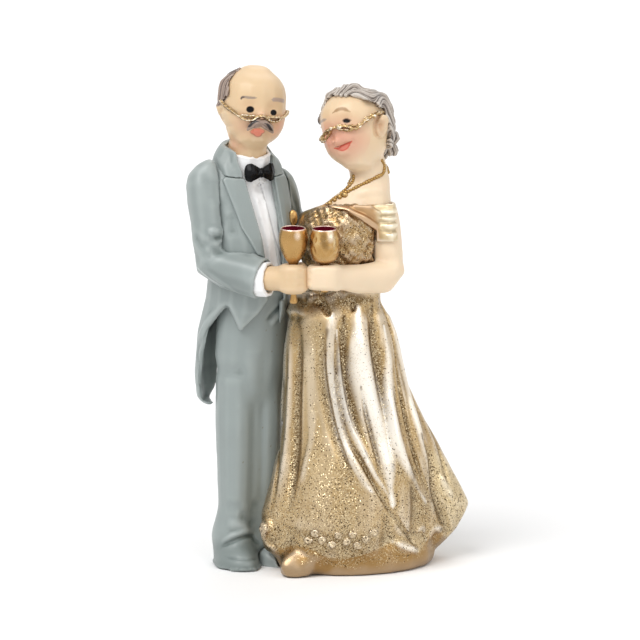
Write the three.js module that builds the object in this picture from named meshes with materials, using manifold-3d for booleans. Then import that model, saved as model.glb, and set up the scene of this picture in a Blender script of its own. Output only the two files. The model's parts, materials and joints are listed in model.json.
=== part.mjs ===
// Anniversary cake topper: an elderly couple in cold-cast resin, toasting with two goblets.
// Millimetres, +Z up, front towards -Y. Every garment, limb and accessory is its own casting,
// seated on its neighbours with a glue gap.
import * as THREE from "three";
import { mergeVertices } from "three/addons/utils/BufferGeometryUtils.js";
import Module from "manifold-3d";

const wasm = await Module();
wasm.setup();

// How many facets go round each kind of form
const facets = {
  body: 18,
  skirt: 44,
  head: 16,
  hair: 22,
  limb: 10,
  finger: 6,
  goblet: 14,
  wire: 4,
  bead: 5,
};

// Glue gap between two castings, and how far a cutting tool runs past what it cuts
const SEAT = 0.3;
const OVERRUN = 20;
const WELD = 0.001;
const QUARTER_TURN = 90;
const UP = new THREE.Vector3(0, 0, 1);

// Where the two figures stand on the floor, and how far each turns from the front, in degrees
const groomStand = { x: -18.2, y: 3, turn: 28 };
const brideStand = { x: 3, y: 0.5, turn: -38 };

// Groom's clothes: heights above the floor, half sizes from the middle of the body
const trousers = {
  hem: 2.8,
  top: 61,
  crotch: 37,
  legApart: 3.4,
  legHalfWidth: 4.35,
  legHalfDepth: 5,
  hipHalfWidth: 8.4,
  hipHalfDepth: 6.8,
};
const shoe = { length: 13.4, halfWidth: 3.7, height: 6.2, heelBack: 2.6, splay: 12 };
const coat = { hem: 34, top: 91.6, halfWidth: 10, halfDepth: 8.6, wall: 1.1 };
const cutaway = { waist: 58, notchOut: 7, point: 52.2, pointOut: 4.4, openBelow: 60.4, openHalf: 1.3 };
const tailVent = { top: 56.5, topHalf: 0.3, bottomHalf: 2.6, tipOut: 5.6, tipRise: 3.4 };
const frontOpening = { collarHalf: 5.3, topHalf: 3.8, bottomHalf: 2.4, bottom: 58.5, drift: 3 };
const lapel = { lift: 0.8, top: 88, corner: 84.8, wide: 7.5, step: 1.3, bottom: 65 };
const coatCollar = { lift: 0.8, reach: 3.6, height: 91.6, tilt: 12, front: 86.6 };
const placket = { halfWidth: 0.9, lift: 0.35, low: 60.5, high: 86 };
const pocketSquare = { out: 7.4, height: 76.4, halfWidth: 1.3, halfHeight: 1.7, halfDepth: 1.1 };
const backButton = { radius: 0.75, apart: 3.4, height: 60.4, lift: 0.5 };

// Groom's neck, head and what is on them
const groomNeck = { foot: 83, top: 95, halfWidth: 4.1, halfDepth: 4.2, forward: 0.5 };
const groomHead = {
  x: 1.6,
  y: -1.6,
  height: 100.5,
  halfWidth: 6.95,
  halfDepth: 7.5,
  halfHeight: 7.8,
  turn: 17,
  lean: 7,
  nod: -2,
};
const groomNose = { halfWidth: 1.2, halfDepth: 1.2, halfHeight: 1.4, low: 1.8 };
const groomEar = { halfThick: 1.1, halfDepth: 1.7, halfHeight: 2.4, low: 1, back: 0.7 };
const groomHair = {
  lift: 0.75,
  ridge: 0.2,
  ridges: 11,
  swirl: 9,
  lineForward: 1.6,
  lineLean: -24,
  lineTurn: 22,
  nape: 5.4,
};
const groomCollar = { low: 85.4, high: 90.7, out: 0.9, tilt: 14, gapHalf: 1, gapTop: 2.2 };
const bowTie = { height: 87, halfSpan: 3.6, lobe: 1.65, waist: 0.6, knot: 0.85, thick: 0.85 };
const moustache = { halfSpan: 3.1, droop: 1.9, low: 3.2, thick: 0.85, reach: 0.85 };
const groomGlasses = { wire: 0.28, lensHalfWidth: 1.7, lensHalfHeight: 0.95, apart: 2.8, low: 2.3 };

// Bride's gown: half sizes of the skirt at the hem. A train runs out behind her left side
const skirt = {
  hem: 5,
  top: 60.5,
  halfWidth: 17.4,
  halfDepth: 13.6,
  slew: 20,
  train: 11.2,
  trainHeight: 15,
  fold: 1.5,
  folds: 11,
  sweep: 0.5,
};
const underskirt = { top: 8.6, halfWidth: 17.9, halfDepth: 13.4, x: 2.6, y: 0.6 };
const bodice = { foot: 56.5, top: 78.6, halfWidth: 8.7, halfDepth: 8.2, bust: 1.3 };
const drape = {
  top: 79.6,
  farTop: 77,
  centre: 78.2,
  arm: 71.8,
  span: 7.4,
  reach: 16,
  lift: 0.55,
  seam: 0.5,
};
const brideShoe = { x: -7.1, y: -9.7, halfLength: 5.4, halfWidth: 3.9, height: 6, turn: -12 };

// Bride's shoulders, head and what is on them
const shoulders = { foot: 68, top: 92, halfWidth: 9, halfDepth: 5.8 };
const brideHead = {
  x: 5.5,
  y: 0.3,
  height: 95.9,
  halfWidth: 7,
  halfDepth: 7.4,
  halfHeight: 8.3,
  turn: -40,
  lean: -23,
  nod: -8,
};
const brideNose = { halfWidth: 1.2, halfDepth: 1.3, halfHeight: 1.3, low: 2 };
const brideEar = { halfThick: 1, halfDepth: 1.5, halfHeight: 2.5, low: 0.6, back: 0.8 };
const brideHair = {
  lift: 1.1,
  ridge: 0.35,
  ridges: 5,
  swirl: 7,
  lineForward: 1.9,
  lineLean: 38,
  lineTurn: 0,
  nape: 6.4,
};
const bun = { radius: 2.9, back: 5.9, low: 4.6, curl: 1.4, curls: 6 };
const brideGlasses = { wire: 0.28, lensHalfWidth: 1.7, lensHalfHeight: 0.95, apart: 2.7, low: 1.2 };
const necklace = { bead: 0.5, beads: 18, tilt: 38, height: 84.6, reach: 12, pendant: 0.8, cord: 0.3 };

// Goblets: radii from the axis, heights from the underside of the foot
const goblet = {
  foot: 2,
  footThick: 0.7,
  stem: 0.75,
  stemLength: 7.6,
  bowl: 3.2,
  rim: 2.85,
  bowlHeight: 8.2,
  wall: 0.45,
  fill: 1.1,
};
const groomGoblet = { x: -7.8, y: -12.4, foot: 59.1, lean: 0 };
const brideGoblet = { x: -0.5, y: -12.6, foot: 58.9, lean: 3 };

// Arms: joints in the wearer's own frame, x to the wearer's left, y to the back
const groomRightArm = {
  shoulder: { x: -9.6, y: 0.4, z: 84 },
  elbow: { x: -9.2, y: -3.4, z: 66.5 },
  radius: 4.15,
};
const groomLeftArm = {
  shoulder: { x: 8.2, y: 0.8, z: 83.2 },
  elbow: { x: 12.8, y: 4, z: 76 },
  radius: 3.5,
};
const brideLeftArm = {
  shoulder: { x: 7.6, y: 3.6, z: 77 },
  elbow: { x: 10.7, y: 2.6, z: 64.4 },
  radius: 3.35,
};
const brideRightArm = {
  shoulder: { x: -5.6, y: 4.6, z: 76.4 },
  elbow: { x: -9.2, y: 9.2, z: 70.6 },
  radius: 2.7,
};
const hand = { knuckle: 3.35, halfHeight: 3.5, fingers: 4, thumb: 1.05, height: 64.5, wrist: 2.8 };
const cuff = { radius: 3.75, length: 2.6 };
const wristReach = { groom: 7.2, bride: 8.6, drop: 0.4 };
const backHand = { length: 7.2, halfWidth: 2.6, halfThick: 1.5, finger: 0.76, fingers: 4 };
const groomBackHand = { x: 8.6, y: 10.4, z: 70.6, turn: -14 };
const brideBackHand = { x: -20, y: 14.2, z: 66.4, turn: 197 };

// Resin paints
function paint(color, roughness, metalness = 0) {
  return new THREE.MeshStandardMaterial({ color, roughness, metalness });
}
const paints = {
  suit: paint(0xa9b5b2, 0.5),
  linen: paint(0xf2f2f4, 0.5),
  black: paint(0x0b0b0d, 0.2),
  skin: paint(0xeccfa6, 0.45),
  hair: paint(0x9a9695, 0.5),
  gold: paint(0xc9a062, 0.3, 0.9),
  glitter: paint(0xb99a6a, 0.35, 0.85),
  wine: paint(0x4a0f18, 0.15),
};

// Solids and geometry

function solidOf(geometry) {
  const bare = new THREE.BufferGeometry();
  bare.setAttribute("position", geometry.getAttribute("position").clone());
  if (geometry.index) bare.setIndex(geometry.index.clone());
  const merged = mergeVertices(bare, WELD);
  const make = (triVerts) =>
    new wasm.Manifold(
      new wasm.Mesh({
        numProp: 3,
        vertProperties: new Float32Array(merged.attributes.position.array),
        triVerts,
      }),
    );
  const faces = new Uint32Array(merged.index.array);
  const made = make(faces);
  if (made.volume() > 0) return made;
  for (let i = 0; i < faces.length; i += 3) {
    [faces[i + 1], faces[i + 2]] = [faces[i + 2], faces[i + 1]];
  }
  return make(faces);
}

function geometryOf(solid) {
  const mesh = solid.getMesh();
  const geometry = new THREE.BufferGeometry();
  geometry.setAttribute("position", new THREE.BufferAttribute(new Float32Array(mesh.vertProperties), 3));
  geometry.setIndex(new THREE.BufferAttribute(new Uint32Array(mesh.triVerts), 1));
  geometry.computeVertexNormals();
  return geometry;
}

const joined = (...solids) => solids.reduce((all, next) => all.add(next));
const moved = (solid, matrix) => solid.transform(matrix.elements);

/** The largest body that is left of a solid once its neighbours are cut from it. */
function cutBy(solid, ...neighbours) {
  const left = neighbours.reduce((rest, next) => rest.subtract(next), solid);
  return left.decompose().reduce((most, next) => (next.volume() > most.volume() ? next : most));
}

/** A closed skin over rings of points. A closed loop joins its last ring to its first. */
function skinOver(rings, loop = false) {
  const count = rings[0].length;
  const points = rings.flat();
  const faces = [];
  const bands = loop ? rings.length : rings.length - 1;
  for (let r = 0; r < bands; r++) {
    const here = r * count;
    const next = ((r + 1) % rings.length) * count;
    for (let i = 0; i < count; i++) {
      const j = (i + 1) % count;
      faces.push(here + i, here + j, next + j, here + i, next + j, next + i);
    }
  }
  if (!loop) {
    for (const [ring, start, turned] of [
      [rings[0], 0, true],
      [rings.at(-1), (rings.length - 1) * count, false],
    ]) {
      const middle = ring.reduce((sum, p) => sum.add(p), new THREE.Vector3()).divideScalar(count);
      const hub = points.push(middle) - 1;
      for (let i = 0; i < count; i++) {
        const j = (i + 1) % count;
        if (turned) faces.push(start + j, start + i, hub);
        else faces.push(start + i, start + j, hub);
      }
    }
  }
  const geometry = new THREE.BufferGeometry().setFromPoints(points);
  geometry.setIndex(faces);
  return solidOf(geometry);
}

/**
 * A rounded form through stations, each { at, wide, deep, turn } with half sizes.
 * Its ends are domes, as high as a share of the end's smaller half size, or flat where that share is zero.
 * Grow moves the whole skin outwards.
 */
function lofted(stations, options = {}) {
  const { front = new THREE.Vector3(0, -1, 0), around = facets.limb, steps = 1, domes = [1, 1] } = options;
  const { grow = 0, relief = () => 0, domeRings = 2 } = options;
  const path = new THREE.CatmullRomCurve3(stations.map((s) => s.at));
  const sizes = new THREE.CatmullRomCurve3(
    stations.map((s) => new THREE.Vector3(s.wide, s.deep, s.turn ?? 0)),
    false,
    "catmullrom",
  );
  const rings = [];
  const ringAt = (share, slide, shrink) => {
    const tangent = path.getTangent(share);
    const size = sizes.getPoint(share);
    const ahead = front.clone().addScaledVector(tangent, -front.dot(tangent)).normalize();
    ahead.applyAxisAngle(tangent, THREE.MathUtils.degToRad(size.z));
    const side = tangent.clone().cross(ahead);
    const middle = path.getPoint(share).addScaledVector(tangent, slide);
    const ring = [];
    for (let i = 0; i < around; i++) {
      const angle = (i / around) * 2 * Math.PI;
      const lift = grow + relief(share, angle);
      const wide = Math.max((size.x + lift) * shrink, WELD);
      const deep = Math.max((size.y + lift) * shrink, WELD);
      ring.push(
        middle
          .clone()
          .addScaledVector(side, wide * Math.cos(angle))
          .addScaledVector(ahead, deep * Math.sin(angle)),
      );
    }
    return ring;
  };
  const smaller = (share) => {
    const size = sizes.getPoint(share);
    return Math.min(size.x, size.y);
  };
  const spans = (stations.length - 1) * steps;
  const endCap = (share, outward) => {
    const dome = domes[share];
    if (!dome) return [ringAt(share, outward * grow, 1)];
    const height = smaller(share) * dome + grow;
    const cap = [];
    for (let k = 0; k <= domeRings; k++) {
      const angle = (k / (domeRings + 0.5)) * (Math.PI / 2);
      cap.push(ringAt(share, outward * height * Math.sin(angle), Math.cos(angle)));
    }
    return cap;
  };
  rings.push(...endCap(0, -1).reverse());
  for (let k = 1; k < spans; k++) rings.push(ringAt(k / spans, 0, 1));
  rings.push(...endCap(1, 1));
  return skinOver(rings);
}

/**
 * An upright form from a table of shares: up between foot and top, the middle's shift to the left and to
 * the back, and the half width and half depth, in shares of the named half sizes.
 */
function column(size, shares, options = {}) {
  const stations = shares.map(([up, left, back, wide, deep]) => ({
    at: new THREE.Vector3(
      left * size.halfWidth,
      back * size.halfDepth,
      size.foot + up * (size.top - size.foot),
    ),
    wide: wide * size.halfWidth,
    deep: deep * size.halfDepth,
  }));
  return lofted(stations, { domes: [0, 0], ...options });
}

const LIMB_BEND_SHARE = 0.62;

/** A limb that runs from start to end and bends at a joint, its radius in shares along the way. */
function limb(start, joint, end, radius, radiusShares, options = {}) {
  const path = new THREE.CatmullRomCurve3([
    start,
    start.clone().lerp(joint, LIMB_BEND_SHARE),
    joint,
    end.clone().lerp(joint, LIMB_BEND_SHARE),
    end,
  ]);
  const count = radiusShares.length - 1;
  const stations = radiusShares.map((share, i) => ({
    at: path.getPointAt(i / count),
    wide: radius * share,
    deep: radius * share,
  }));
  return lofted(stations, { front: UP, ...options });
}

/** An ellipsoid with half sizes along x, y and z. */
function ellipsoid(x, y, z, wide, deep, high, grow = 0, rounds = facets.limb) {
  const ball = new THREE.SphereGeometry(1, rounds, rounds / 2);
  ball.rotateX(Math.PI / 2);
  ball.scale(wide + grow, deep + grow, high + grow);
  ball.translate(x, y, z);
  return solidOf(ball);
}

/** A block between two corners. */
function block(low, high) {
  const size = high.clone().sub(low);
  const middle = low.clone().add(high).multiplyScalar(0.5);
  return solidOf(new THREE.BoxGeometry(size.x, size.y, size.z).translate(middle.x, middle.y, middle.z));
}

/** A form cut flat at the floor, or as far below it as the form has grown. */
function aboveFloor(solid, grow) {
  const low = new THREE.Vector3(-OVERRUN, -OVERRUN, -OVERRUN);
  return solid.subtract(block(low, new THREE.Vector3(OVERRUN, OVERRUN, -grow)));
}

/** A prism whose outline lies in the x-z plane, from y = near to y = far. */
function prism(outline, near, far) {
  const shape = new THREE.Shape(outline.map(([x, z]) => new THREE.Vector2(x, z)));
  const body = new THREE.ExtrudeGeometry(shape, { depth: far - near, bevelEnabled: false });
  body.rotateX(Math.PI / 2);
  body.translate(0, far, 0);
  return solidOf(body);
}

/** A round wire along a curve, with flat ends or joined to itself. Its radii repeat along the way. */
function wireAlong(curve, radius, steps, loop = false) {
  const frames = curve.computeFrenetFrames(steps, loop);
  const rings = [];
  for (let k = 0; k < steps + (loop ? 0 : 1); k++) {
    const middle = curve.getPointAt(k / steps);
    const thick = radius[k % radius.length];
    const ring = [];
    for (let i = 0; i < facets.wire; i++) {
      const angle = (i / facets.wire) * 2 * Math.PI;
      ring.push(
        middle
          .clone()
          .addScaledVector(frames.normals[k], thick * Math.cos(angle))
          .addScaledVector(frames.binormals[k], thick * Math.sin(angle)),
      );
    }
    rings.push(ring);
  }
  return skinOver(rings, loop);
}

// Frames of the couple, of each figure and of each head

function frameOf(x, y, z, turn = 0, lean = 0, nod = 0) {
  const rotation = new THREE.Euler(
    THREE.MathUtils.degToRad(nod),
    THREE.MathUtils.degToRad(lean),
    THREE.MathUtils.degToRad(turn),
    "YZX",
  );
  const place = new THREE.Vector3(x, y, z);
  const spin = new THREE.Quaternion().setFromEuler(rotation);
  return new THREE.Matrix4().compose(place, spin, new THREE.Vector3(1, 1, 1));
}

const groomFrame = frameOf(groomStand.x, groomStand.y, 0, groomStand.turn);
const brideFrame = frameOf(brideStand.x, brideStand.y, 0, brideStand.turn);
const groomHeadFrame = frameOf(
  groomStand.x + groomHead.x,
  groomStand.y + groomHead.y,
  groomHead.height,
  groomHead.turn,
  groomHead.lean,
  groomHead.nod,
);
const brideHeadFrame = frameOf(
  brideHead.x,
  brideHead.y,
  brideHead.height,
  brideHead.turn,
  brideHead.lean,
  brideHead.nod,
);
const pointIn = (frame, { x, y, z }) => new THREE.Vector3(x, y, z).applyMatrix4(frame);

// Groom's trousers and shoes

const LEG_SHARES = [
  [0, 0, 0.02, 1, 1.04],
  [0.08, 0, 0.05, 1.07, 1.12],
  [0.18, 0, 0.04, 0.96, 1.02],
  [0.45, 0.02, 0, 0.96, 1],
  [0.75, 0.07, 0.02, 1.05, 1.1],
  [1, 0.1, 0.02, 1.06, 1.12],
];
const HIP_SHARES = [
  [0, 0.08, 0.02, 0.92, 0.8],
  [0.35, 0.16, 0.02, 1.03, 0.98],
  [1, 0.24, -0.08, 1.03, 1],
];
const HIP_END_SHARES = [0.5, 0];
const HEM_FOLD_SHARE = 0.07;
const HEM_FOLD_REACH_SHARE = 0.25;
const HEM_FOLDS = 3;
const HEM_FOLD_SWEEP = 40;

function trousersForm(grow = 0) {
  const fold = (share, angle) => {
    const nearHem = Math.max(0, 1 - share / HEM_FOLD_REACH_SHARE);
    const wave = Math.cos(HEM_FOLDS * angle + HEM_FOLD_SWEEP * share);
    return trousers.legHalfWidth * HEM_FOLD_SHARE * nearHem * wave;
  };
  const legs = [-1, 1].map((side) => {
    const size = {
      foot: trousers.hem,
      top: trousers.crotch + trousers.legHalfWidth,
      halfWidth: trousers.legHalfWidth,
      halfDepth: trousers.legHalfDepth,
    };
    const leg = column(size, LEG_SHARES, { grow, relief: fold });
    return leg.translate([side * trousers.legApart, 0, 0]);
  });
  const hips = column(
    {
      foot: trousers.crotch,
      top: trousers.top,
      halfWidth: trousers.hipHalfWidth,
      halfDepth: trousers.hipHalfDepth,
    },
    HIP_SHARES,
    { grow, domes: HIP_END_SHARES, around: facets.body },
  );
  return moved(joined(...legs, hips), groomFrame);
}

const SHOE_SHARES = [
  [0, 0.62, 0.7],
  [0.16, 0.84, 0.95],
  [0.36, 0.9, 1],
  [0.58, 1, 0.8],
  [0.8, 1, 0.64],
  [1, 0.72, 0.44],
];
const SHOE_END_SHARES = [0.7, 0.9];

/** A shoe from heel to toe, cut flat at the floor. Its ankle runs up into the trouser leg. */
function shoeForm(side, grow = 0) {
  const stations = SHOE_SHARES.map(([along, wide, high]) => ({
    at: new THREE.Vector3(0, shoe.heelBack - along * (shoe.length - shoe.height / 2), 0),
    wide: wide * shoe.halfWidth,
    deep: high * shoe.height,
  }));
  const upper = lofted(stations, { front: UP, domes: SHOE_END_SHARES, grow, around: facets.limb });
  const splay = new THREE.Matrix4().makeRotationZ(THREE.MathUtils.degToRad(side * shoe.splay));
  splay.setPosition(side * trousers.legApart, 0, 0);
  return moved(moved(aboveFloor(upper, grow), splay), groomFrame);
}

// Groom's tailcoat over his shirt

const COAT_SHARES = [
  [0, 0, 0.68, 0.88, 0.66],
  [0.13, 0, 0.56, 0.96, 0.78],
  [0.28, 0, 0.24, 1, 0.95],
  [0.42, 0.02, -0.06, 0.92, 1.02],
  [0.54, 0, -0.18, 0.87, 1.03],
  [0.65, 0, -0.13, 0.93, 0.99],
  [0.77, 0, -0.02, 1.03, 0.84],
  [0.86, 0, 0.04, 0.98, 0.71],
  [0.91, 0, 0.06, 0.86, 0.63],
  [0.95, 0, 0.07, 0.7, 0.57],
  [1, 0, 0.06, 0.52, 0.5],
];

/** The coat's outside at a distance from its cloth, down to the tips of its tails. */
function coatForm(grow = 0) {
  return column({ ...coat, foot: coat.hem }, COAT_SHARES, { grow, around: facets.body });
}

// The tails' front edges seen from the side: back in shares of the depth, up in shares of the tails' length
const TAIL_EDGE_SHARES = [
  [-0.56, 1],
  [-0.02, 0.8],
  [0.4, 0.5],
  [0.62, 0.2],
  [0.7, 0],
];

/** What the cutaway opens below the waist: all but the tails and the two points of the front. */
function belowWaist() {
  const { waist, notchOut, point, pointOut, openBelow, openHalf } = cutaway;
  const all = block(
    new THREE.Vector3(-OVERRUN, -OVERRUN, coat.hem - OVERRUN),
    new THREE.Vector3(OVERRUN, OVERRUN, openBelow),
  );
  const edge = TAIL_EDGE_SHARES.map(([back, up]) => [
    back * coat.halfDepth,
    coat.hem + up * (waist - coat.hem),
  ]);
  const behindEdge = [
    ...edge,
    [edge.at(-1)[0], coat.hem - OVERRUN],
    [OVERRUN, coat.hem - OVERRUN],
    [OVERRUN, openBelow],
    [edge[0][0], openBelow],
  ].reverse();
  const tails = moved(prism(behindEdge, -OVERRUN, OVERRUN), frameOf(0, 0, 0, QUARTER_TURN));
  const panel = (out) => [
    [out * openHalf + frontOpening.drift, openBelow],
    [out * pointOut, point],
    [out * notchOut, waist],
    [out * OVERRUN, waist],
    [out * OVERRUN, openBelow],
  ];
  const pointsBack = edge[0][0] / 2;
  const points = [-1, 1].map((side) => prism(panel(side), -OVERRUN, pointsBack));
  return cutBy(all, tails, ...points);
}

/** The front opening, which runs over to the wearer's left on its way down. */
function openFront(spare = 0) {
  const { collarHalf, topHalf, bottomHalf, bottom, drift } = frontOpening;
  return prism(
    [
      [-collarHalf - spare, coat.top + OVERRUN],
      [-collarHalf - spare, coatCollar.height],
      [-topHalf - spare, coatCollar.front],
      [drift - bottomHalf - spare, bottom],
      [drift + bottomHalf + spare, bottom],
      [topHalf + spare, coatCollar.front],
      [collarHalf + spare, coatCollar.height],
      [collarHalf + spare, coat.top + OVERRUN],
    ],
    -OVERRUN,
    0,
  );
}

/** The vent between the two tails, with their slanted lower ends. */
function backVent() {
  const { top, topHalf, bottomHalf, tipOut, tipRise } = tailVent;
  return prism(
    [
      [-topHalf, top],
      [topHalf, top],
      [bottomHalf, coat.hem + tipRise],
      [tipOut, coat.hem],
      [coat.halfWidth, coat.hem + tipRise],
      [OVERRUN, coat.hem + tipRise],
      [OVERRUN, coat.hem - OVERRUN],
      [-OVERRUN, coat.hem - OVERRUN],
      [-OVERRUN, coat.hem + tipRise],
      [-coat.halfWidth, coat.hem + tipRise],
      [-tipOut, coat.hem],
      [-bottomHalf, coat.hem + tipRise],
    ],
    0,
    OVERRUN,
  );
}

/** The shirt fills the coat above the trousers' waistband. */
function shirtForm(grow = 0) {
  const body = coatForm(grow - coat.wall - SEAT);
  const below = block(
    new THREE.Vector3(-OVERRUN, -OVERRUN, -OVERRUN),
    new THREE.Vector3(OVERRUN, OVERRUN, cutaway.waist - grow),
  );
  return moved(body.subtract(below), groomFrame);
}

function coatBody() {
  const shell = coatForm().subtract(coatForm(-coat.wall));
  return moved(cutBy(shell, belowWaist(), openFront(), backVent()), groomFrame);
}

/** A layer of cloth that lies on the coat, bounded by an outline seen from the front or the back. */
function layerOnCoat(outline, near, far, lift) {
  const layer = coatForm(SEAT + lift).subtract(coatForm(SEAT));
  return moved(layer.intersect(prism(outline, near, far)), groomFrame);
}

function lapelForm(side, grow = 0) {
  const { topHalf, bottomHalf, bottom, drift } = frontOpening;
  const downShare = (lapel.top - lapel.bottom) / (lapel.top - bottom);
  const edge = side * THREE.MathUtils.lerp(topHalf, bottomHalf, downShare) + drift * downShare;
  const outline = [
    [side * topHalf, lapel.top],
    [side * (lapel.wide - lapel.step + grow), lapel.corner + lapel.step + grow],
    [side * (lapel.wide + grow), lapel.corner],
    [(side * lapel.wide + edge) / 2 + side * (lapel.step + grow), (lapel.corner + lapel.bottom) / 2],
    [edge, lapel.bottom - grow],
  ];
  return layerOnCoat(outline, -OVERRUN, 0, lapel.lift + grow);
}

function placketForm() {
  const { drift } = frontOpening;
  const outline = [
    [drift - placket.halfWidth, placket.low],
    [drift + placket.halfWidth, placket.low],
    [placket.halfWidth, placket.high],
    [-placket.halfWidth, placket.high],
  ];
  const layer = coatForm(placket.lift - coat.wall).intersect(prism(outline, -OVERRUN, 0));
  return moved(layer, groomFrame);
}

/** A slice between two levels of a frame that leans forward about a point. */
function tiltedSlice(low, high, tilt, x, y) {
  const middle = (low + high) / 2;
  const slice = block(
    new THREE.Vector3(-OVERRUN, -OVERRUN, low - middle),
    new THREE.Vector3(OVERRUN, OVERRUN, high - middle),
  );
  return moved(slice, frameOf(x, y, middle, 0, 0, tilt));
}

const NECK_SHARES = [
  [0, 0, 0, 0.96, 0.96],
  [0.45, 0, 0, 1, 1],
  [1, 0, -0.16, 1.02, 1.04],
];

function groomNeckForm(grow = 0) {
  const neck = column(groomNeck, NECK_SHARES, { grow });
  return moved(neck.translate([0, -groomNeck.forward, 0]), groomFrame);
}
const COLLAR_FLARE_SHARES = [
  [0, 0, 0, 1.16, 1.16],
  [0.5, 0, 0, 1.03, 1.03],
  [1, 0, -0.1, 1, 1.02],
];

/** A stand that flares from the neck to the shoulders. */
function neckStand(grow) {
  const stand = column(groomNeck, COLLAR_FLARE_SHARES, { grow });
  return moved(stand.translate([0, -groomNeck.forward, 0]), groomFrame);
}

function shirtCollarForm() {
  const { low, high, out, tilt, gapHalf, gapTop } = groomCollar;
  const band = neckStand(out).intersect(moved(tiltedSlice(low, high, tilt, 0, 0), groomFrame));
  const gap = prism(
    [
      [-gapHalf / 2, low],
      [gapHalf / 2, low],
      [gapTop, high + OVERRUN],
      [-gapTop, high + OVERRUN],
    ],
    -OVERRUN,
    0,
  );
  return band.subtract(moved(gap, groomFrame));
}

/** The coat's collar: it stands round the neck and falls over the shoulders to the lapels' notches. */
function coatCollarForm(grow = 0) {
  const { lift, reach, height, tilt, front } = coatCollar;
  const { halfWidth, halfDepth, forward } = groomNeck;
  const fall = moved(coatForm(SEAT + lift + grow), groomFrame);
  const stand = neckStand(groomCollar.out + SEAT + coat.wall + grow);
  const around = new THREE.CylinderGeometry(1, 1, 2 * OVERRUN, facets.body);
  around.rotateX(Math.PI / 2);
  around.scale(halfWidth + reach + grow, halfDepth + reach + grow, 1);
  const reached = moved(solidOf(around), frameOf(0, -forward, front, 0, 0, -tilt));
  const level = tiltedSlice(front - grow, height + grow, tilt, 0, 0);
  const region = reached.intersect(level).subtract(openFront(-grow));
  return joined(fall, stand).intersect(moved(region, groomFrame));
}

// A lobe of the bow tie: outwards, height from its waist to its full lobe, thickness
const TIE_LOBE_SHARES = [
  [0, 0, 0.8],
  [0.4, 0.55, 0.9],
  [0.75, 1, 1.1],
  [1, 0.9, 0.9],
];
const TIE_END_SHARES = [0, 0.7];

/** The bow tie's two lobes and knot, in front of the collar. */
function bowTieForm(grow = 0) {
  const { height, halfSpan, lobe, waist, knot, thick } = bowTie;
  const forward = -groomNeck.halfDepth * COLLAR_FLARE_SHARES[1][4] - groomCollar.out - thick;
  const lobes = [-1, 1].map((side) => {
    const stations = TIE_LOBE_SHARES.map(([out, high, thickShare]) => ({
      at: new THREE.Vector3(side * out * (halfSpan - thick), forward + out * thick, height),
      wide: thickShare * thick,
      deep: THREE.MathUtils.lerp(waist, lobe, high),
    }));
    return lofted(stations, { front: UP, around: facets.finger, grow, domes: TIE_END_SHARES });
  });
  const middle = ellipsoid(0, forward - thick / 4, height, knot, knot, knot, grow, facets.bead);
  return moved(joined(...lobes, middle), groomFrame);
}

/** The front of the coat's chest: how far back it lies, at a distance out from the middle. */
function coatFrontAt(out, height) {
  const up = (height - coat.hem) / (coat.top - coat.hem);
  const next = COAT_SHARES.findIndex((row) => row[0] > up);
  const low = COAT_SHARES[next - 1];
  const high = COAT_SHARES[next];
  const between = (up - low[0]) / (high[0] - low[0]);
  const [, left, back, wide, deep] = low.map((share, i) => THREE.MathUtils.lerp(share, high[i], between));
  const across = (out / coat.halfWidth - left) / wide;
  return coat.halfDepth * (back - deep * Math.sqrt(1 - across ** 2));
}

function pocketSquareForm() {
  const { out, height, halfWidth, halfHeight, halfDepth } = pocketSquare;
  const square = ellipsoid(out, coatFrontAt(out, height), height, halfWidth, halfDepth + SEAT, halfHeight);
  return moved(square, groomFrame);
}

function backButtonForm(side) {
  const place = new THREE.Vector3(side * backButton.apart, OVERRUN, backButton.height);
  const rod = new THREE.CylinderGeometry(backButton.radius, backButton.radius, 2 * OVERRUN, facets.finger);
  rod.translate(place.x, place.y, place.z);
  const layer = coatForm(SEAT + backButton.lift).subtract(coatForm(SEAT));
  return moved(layer.intersect(solidOf(rod)), groomFrame);
}

// Heads

const GROOM_HEAD_SHARES = [
  [0.03, 0, -0.36, 0.56, 0.48],
  [0.1, 0, -0.27, 0.82, 0.73],
  [0.2, 0, -0.16, 0.97, 0.9],
  [0.34, 0, -0.07, 1.02, 0.98],
  [0.5, 0, 0, 1.01, 0.99],
  [0.65, 0, 0.03, 1, 1],
  [0.78, 0, 0.04, 0.93, 0.94],
  [0.88, 0, 0.05, 0.75, 0.77],
  [0.95, 0, 0.04, 0.48, 0.49],
];
const BRIDE_HEAD_SHARES = [
  [0.03, 0, -0.3, 0.46, 0.42],
  [0.1, 0, -0.24, 0.64, 0.6],
  [0.2, 0, -0.14, 0.82, 0.8],
  [0.34, 0, -0.08, 0.96, 0.94],
  [0.5, 0, -0.02, 1, 0.98],
  [0.65, 0, 0.03, 0.99, 1],
  [0.79, 0, 0.05, 0.91, 0.92],
  [0.9, 0, 0.05, 0.7, 0.72],
  [0.97, 0, 0.04, 0.42, 0.43],
];

const SKULL_END_SHARES = [0.5, 0.35];

/** A skull in its own frame, face towards -y. */
function skull(size, shares, grow, relief, around = facets.head) {
  const frame = { ...size, foot: -size.halfHeight, top: size.halfHeight };
  return column(frame, shares, { grow, relief, around, domes: SKULL_END_SHARES });
}

function faceForm(size, shares, nose, ear, grow) {
  const noseSize = [nose.halfWidth, nose.halfDepth, nose.halfHeight];
  const noseTip = ellipsoid(0, -size.halfDepth, -nose.low, ...noseSize, grow, facets.bead);
  const earSize = [ear.halfThick, ear.halfDepth, ear.halfHeight];
  const ears = [-1, 1].map((side) =>
    ellipsoid(side * size.halfWidth, ear.back, -ear.low, ...earSize, grow, facets.bead),
  );
  return joined(skull(size, shares, grow), noseTip, ...ears);
}

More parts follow.
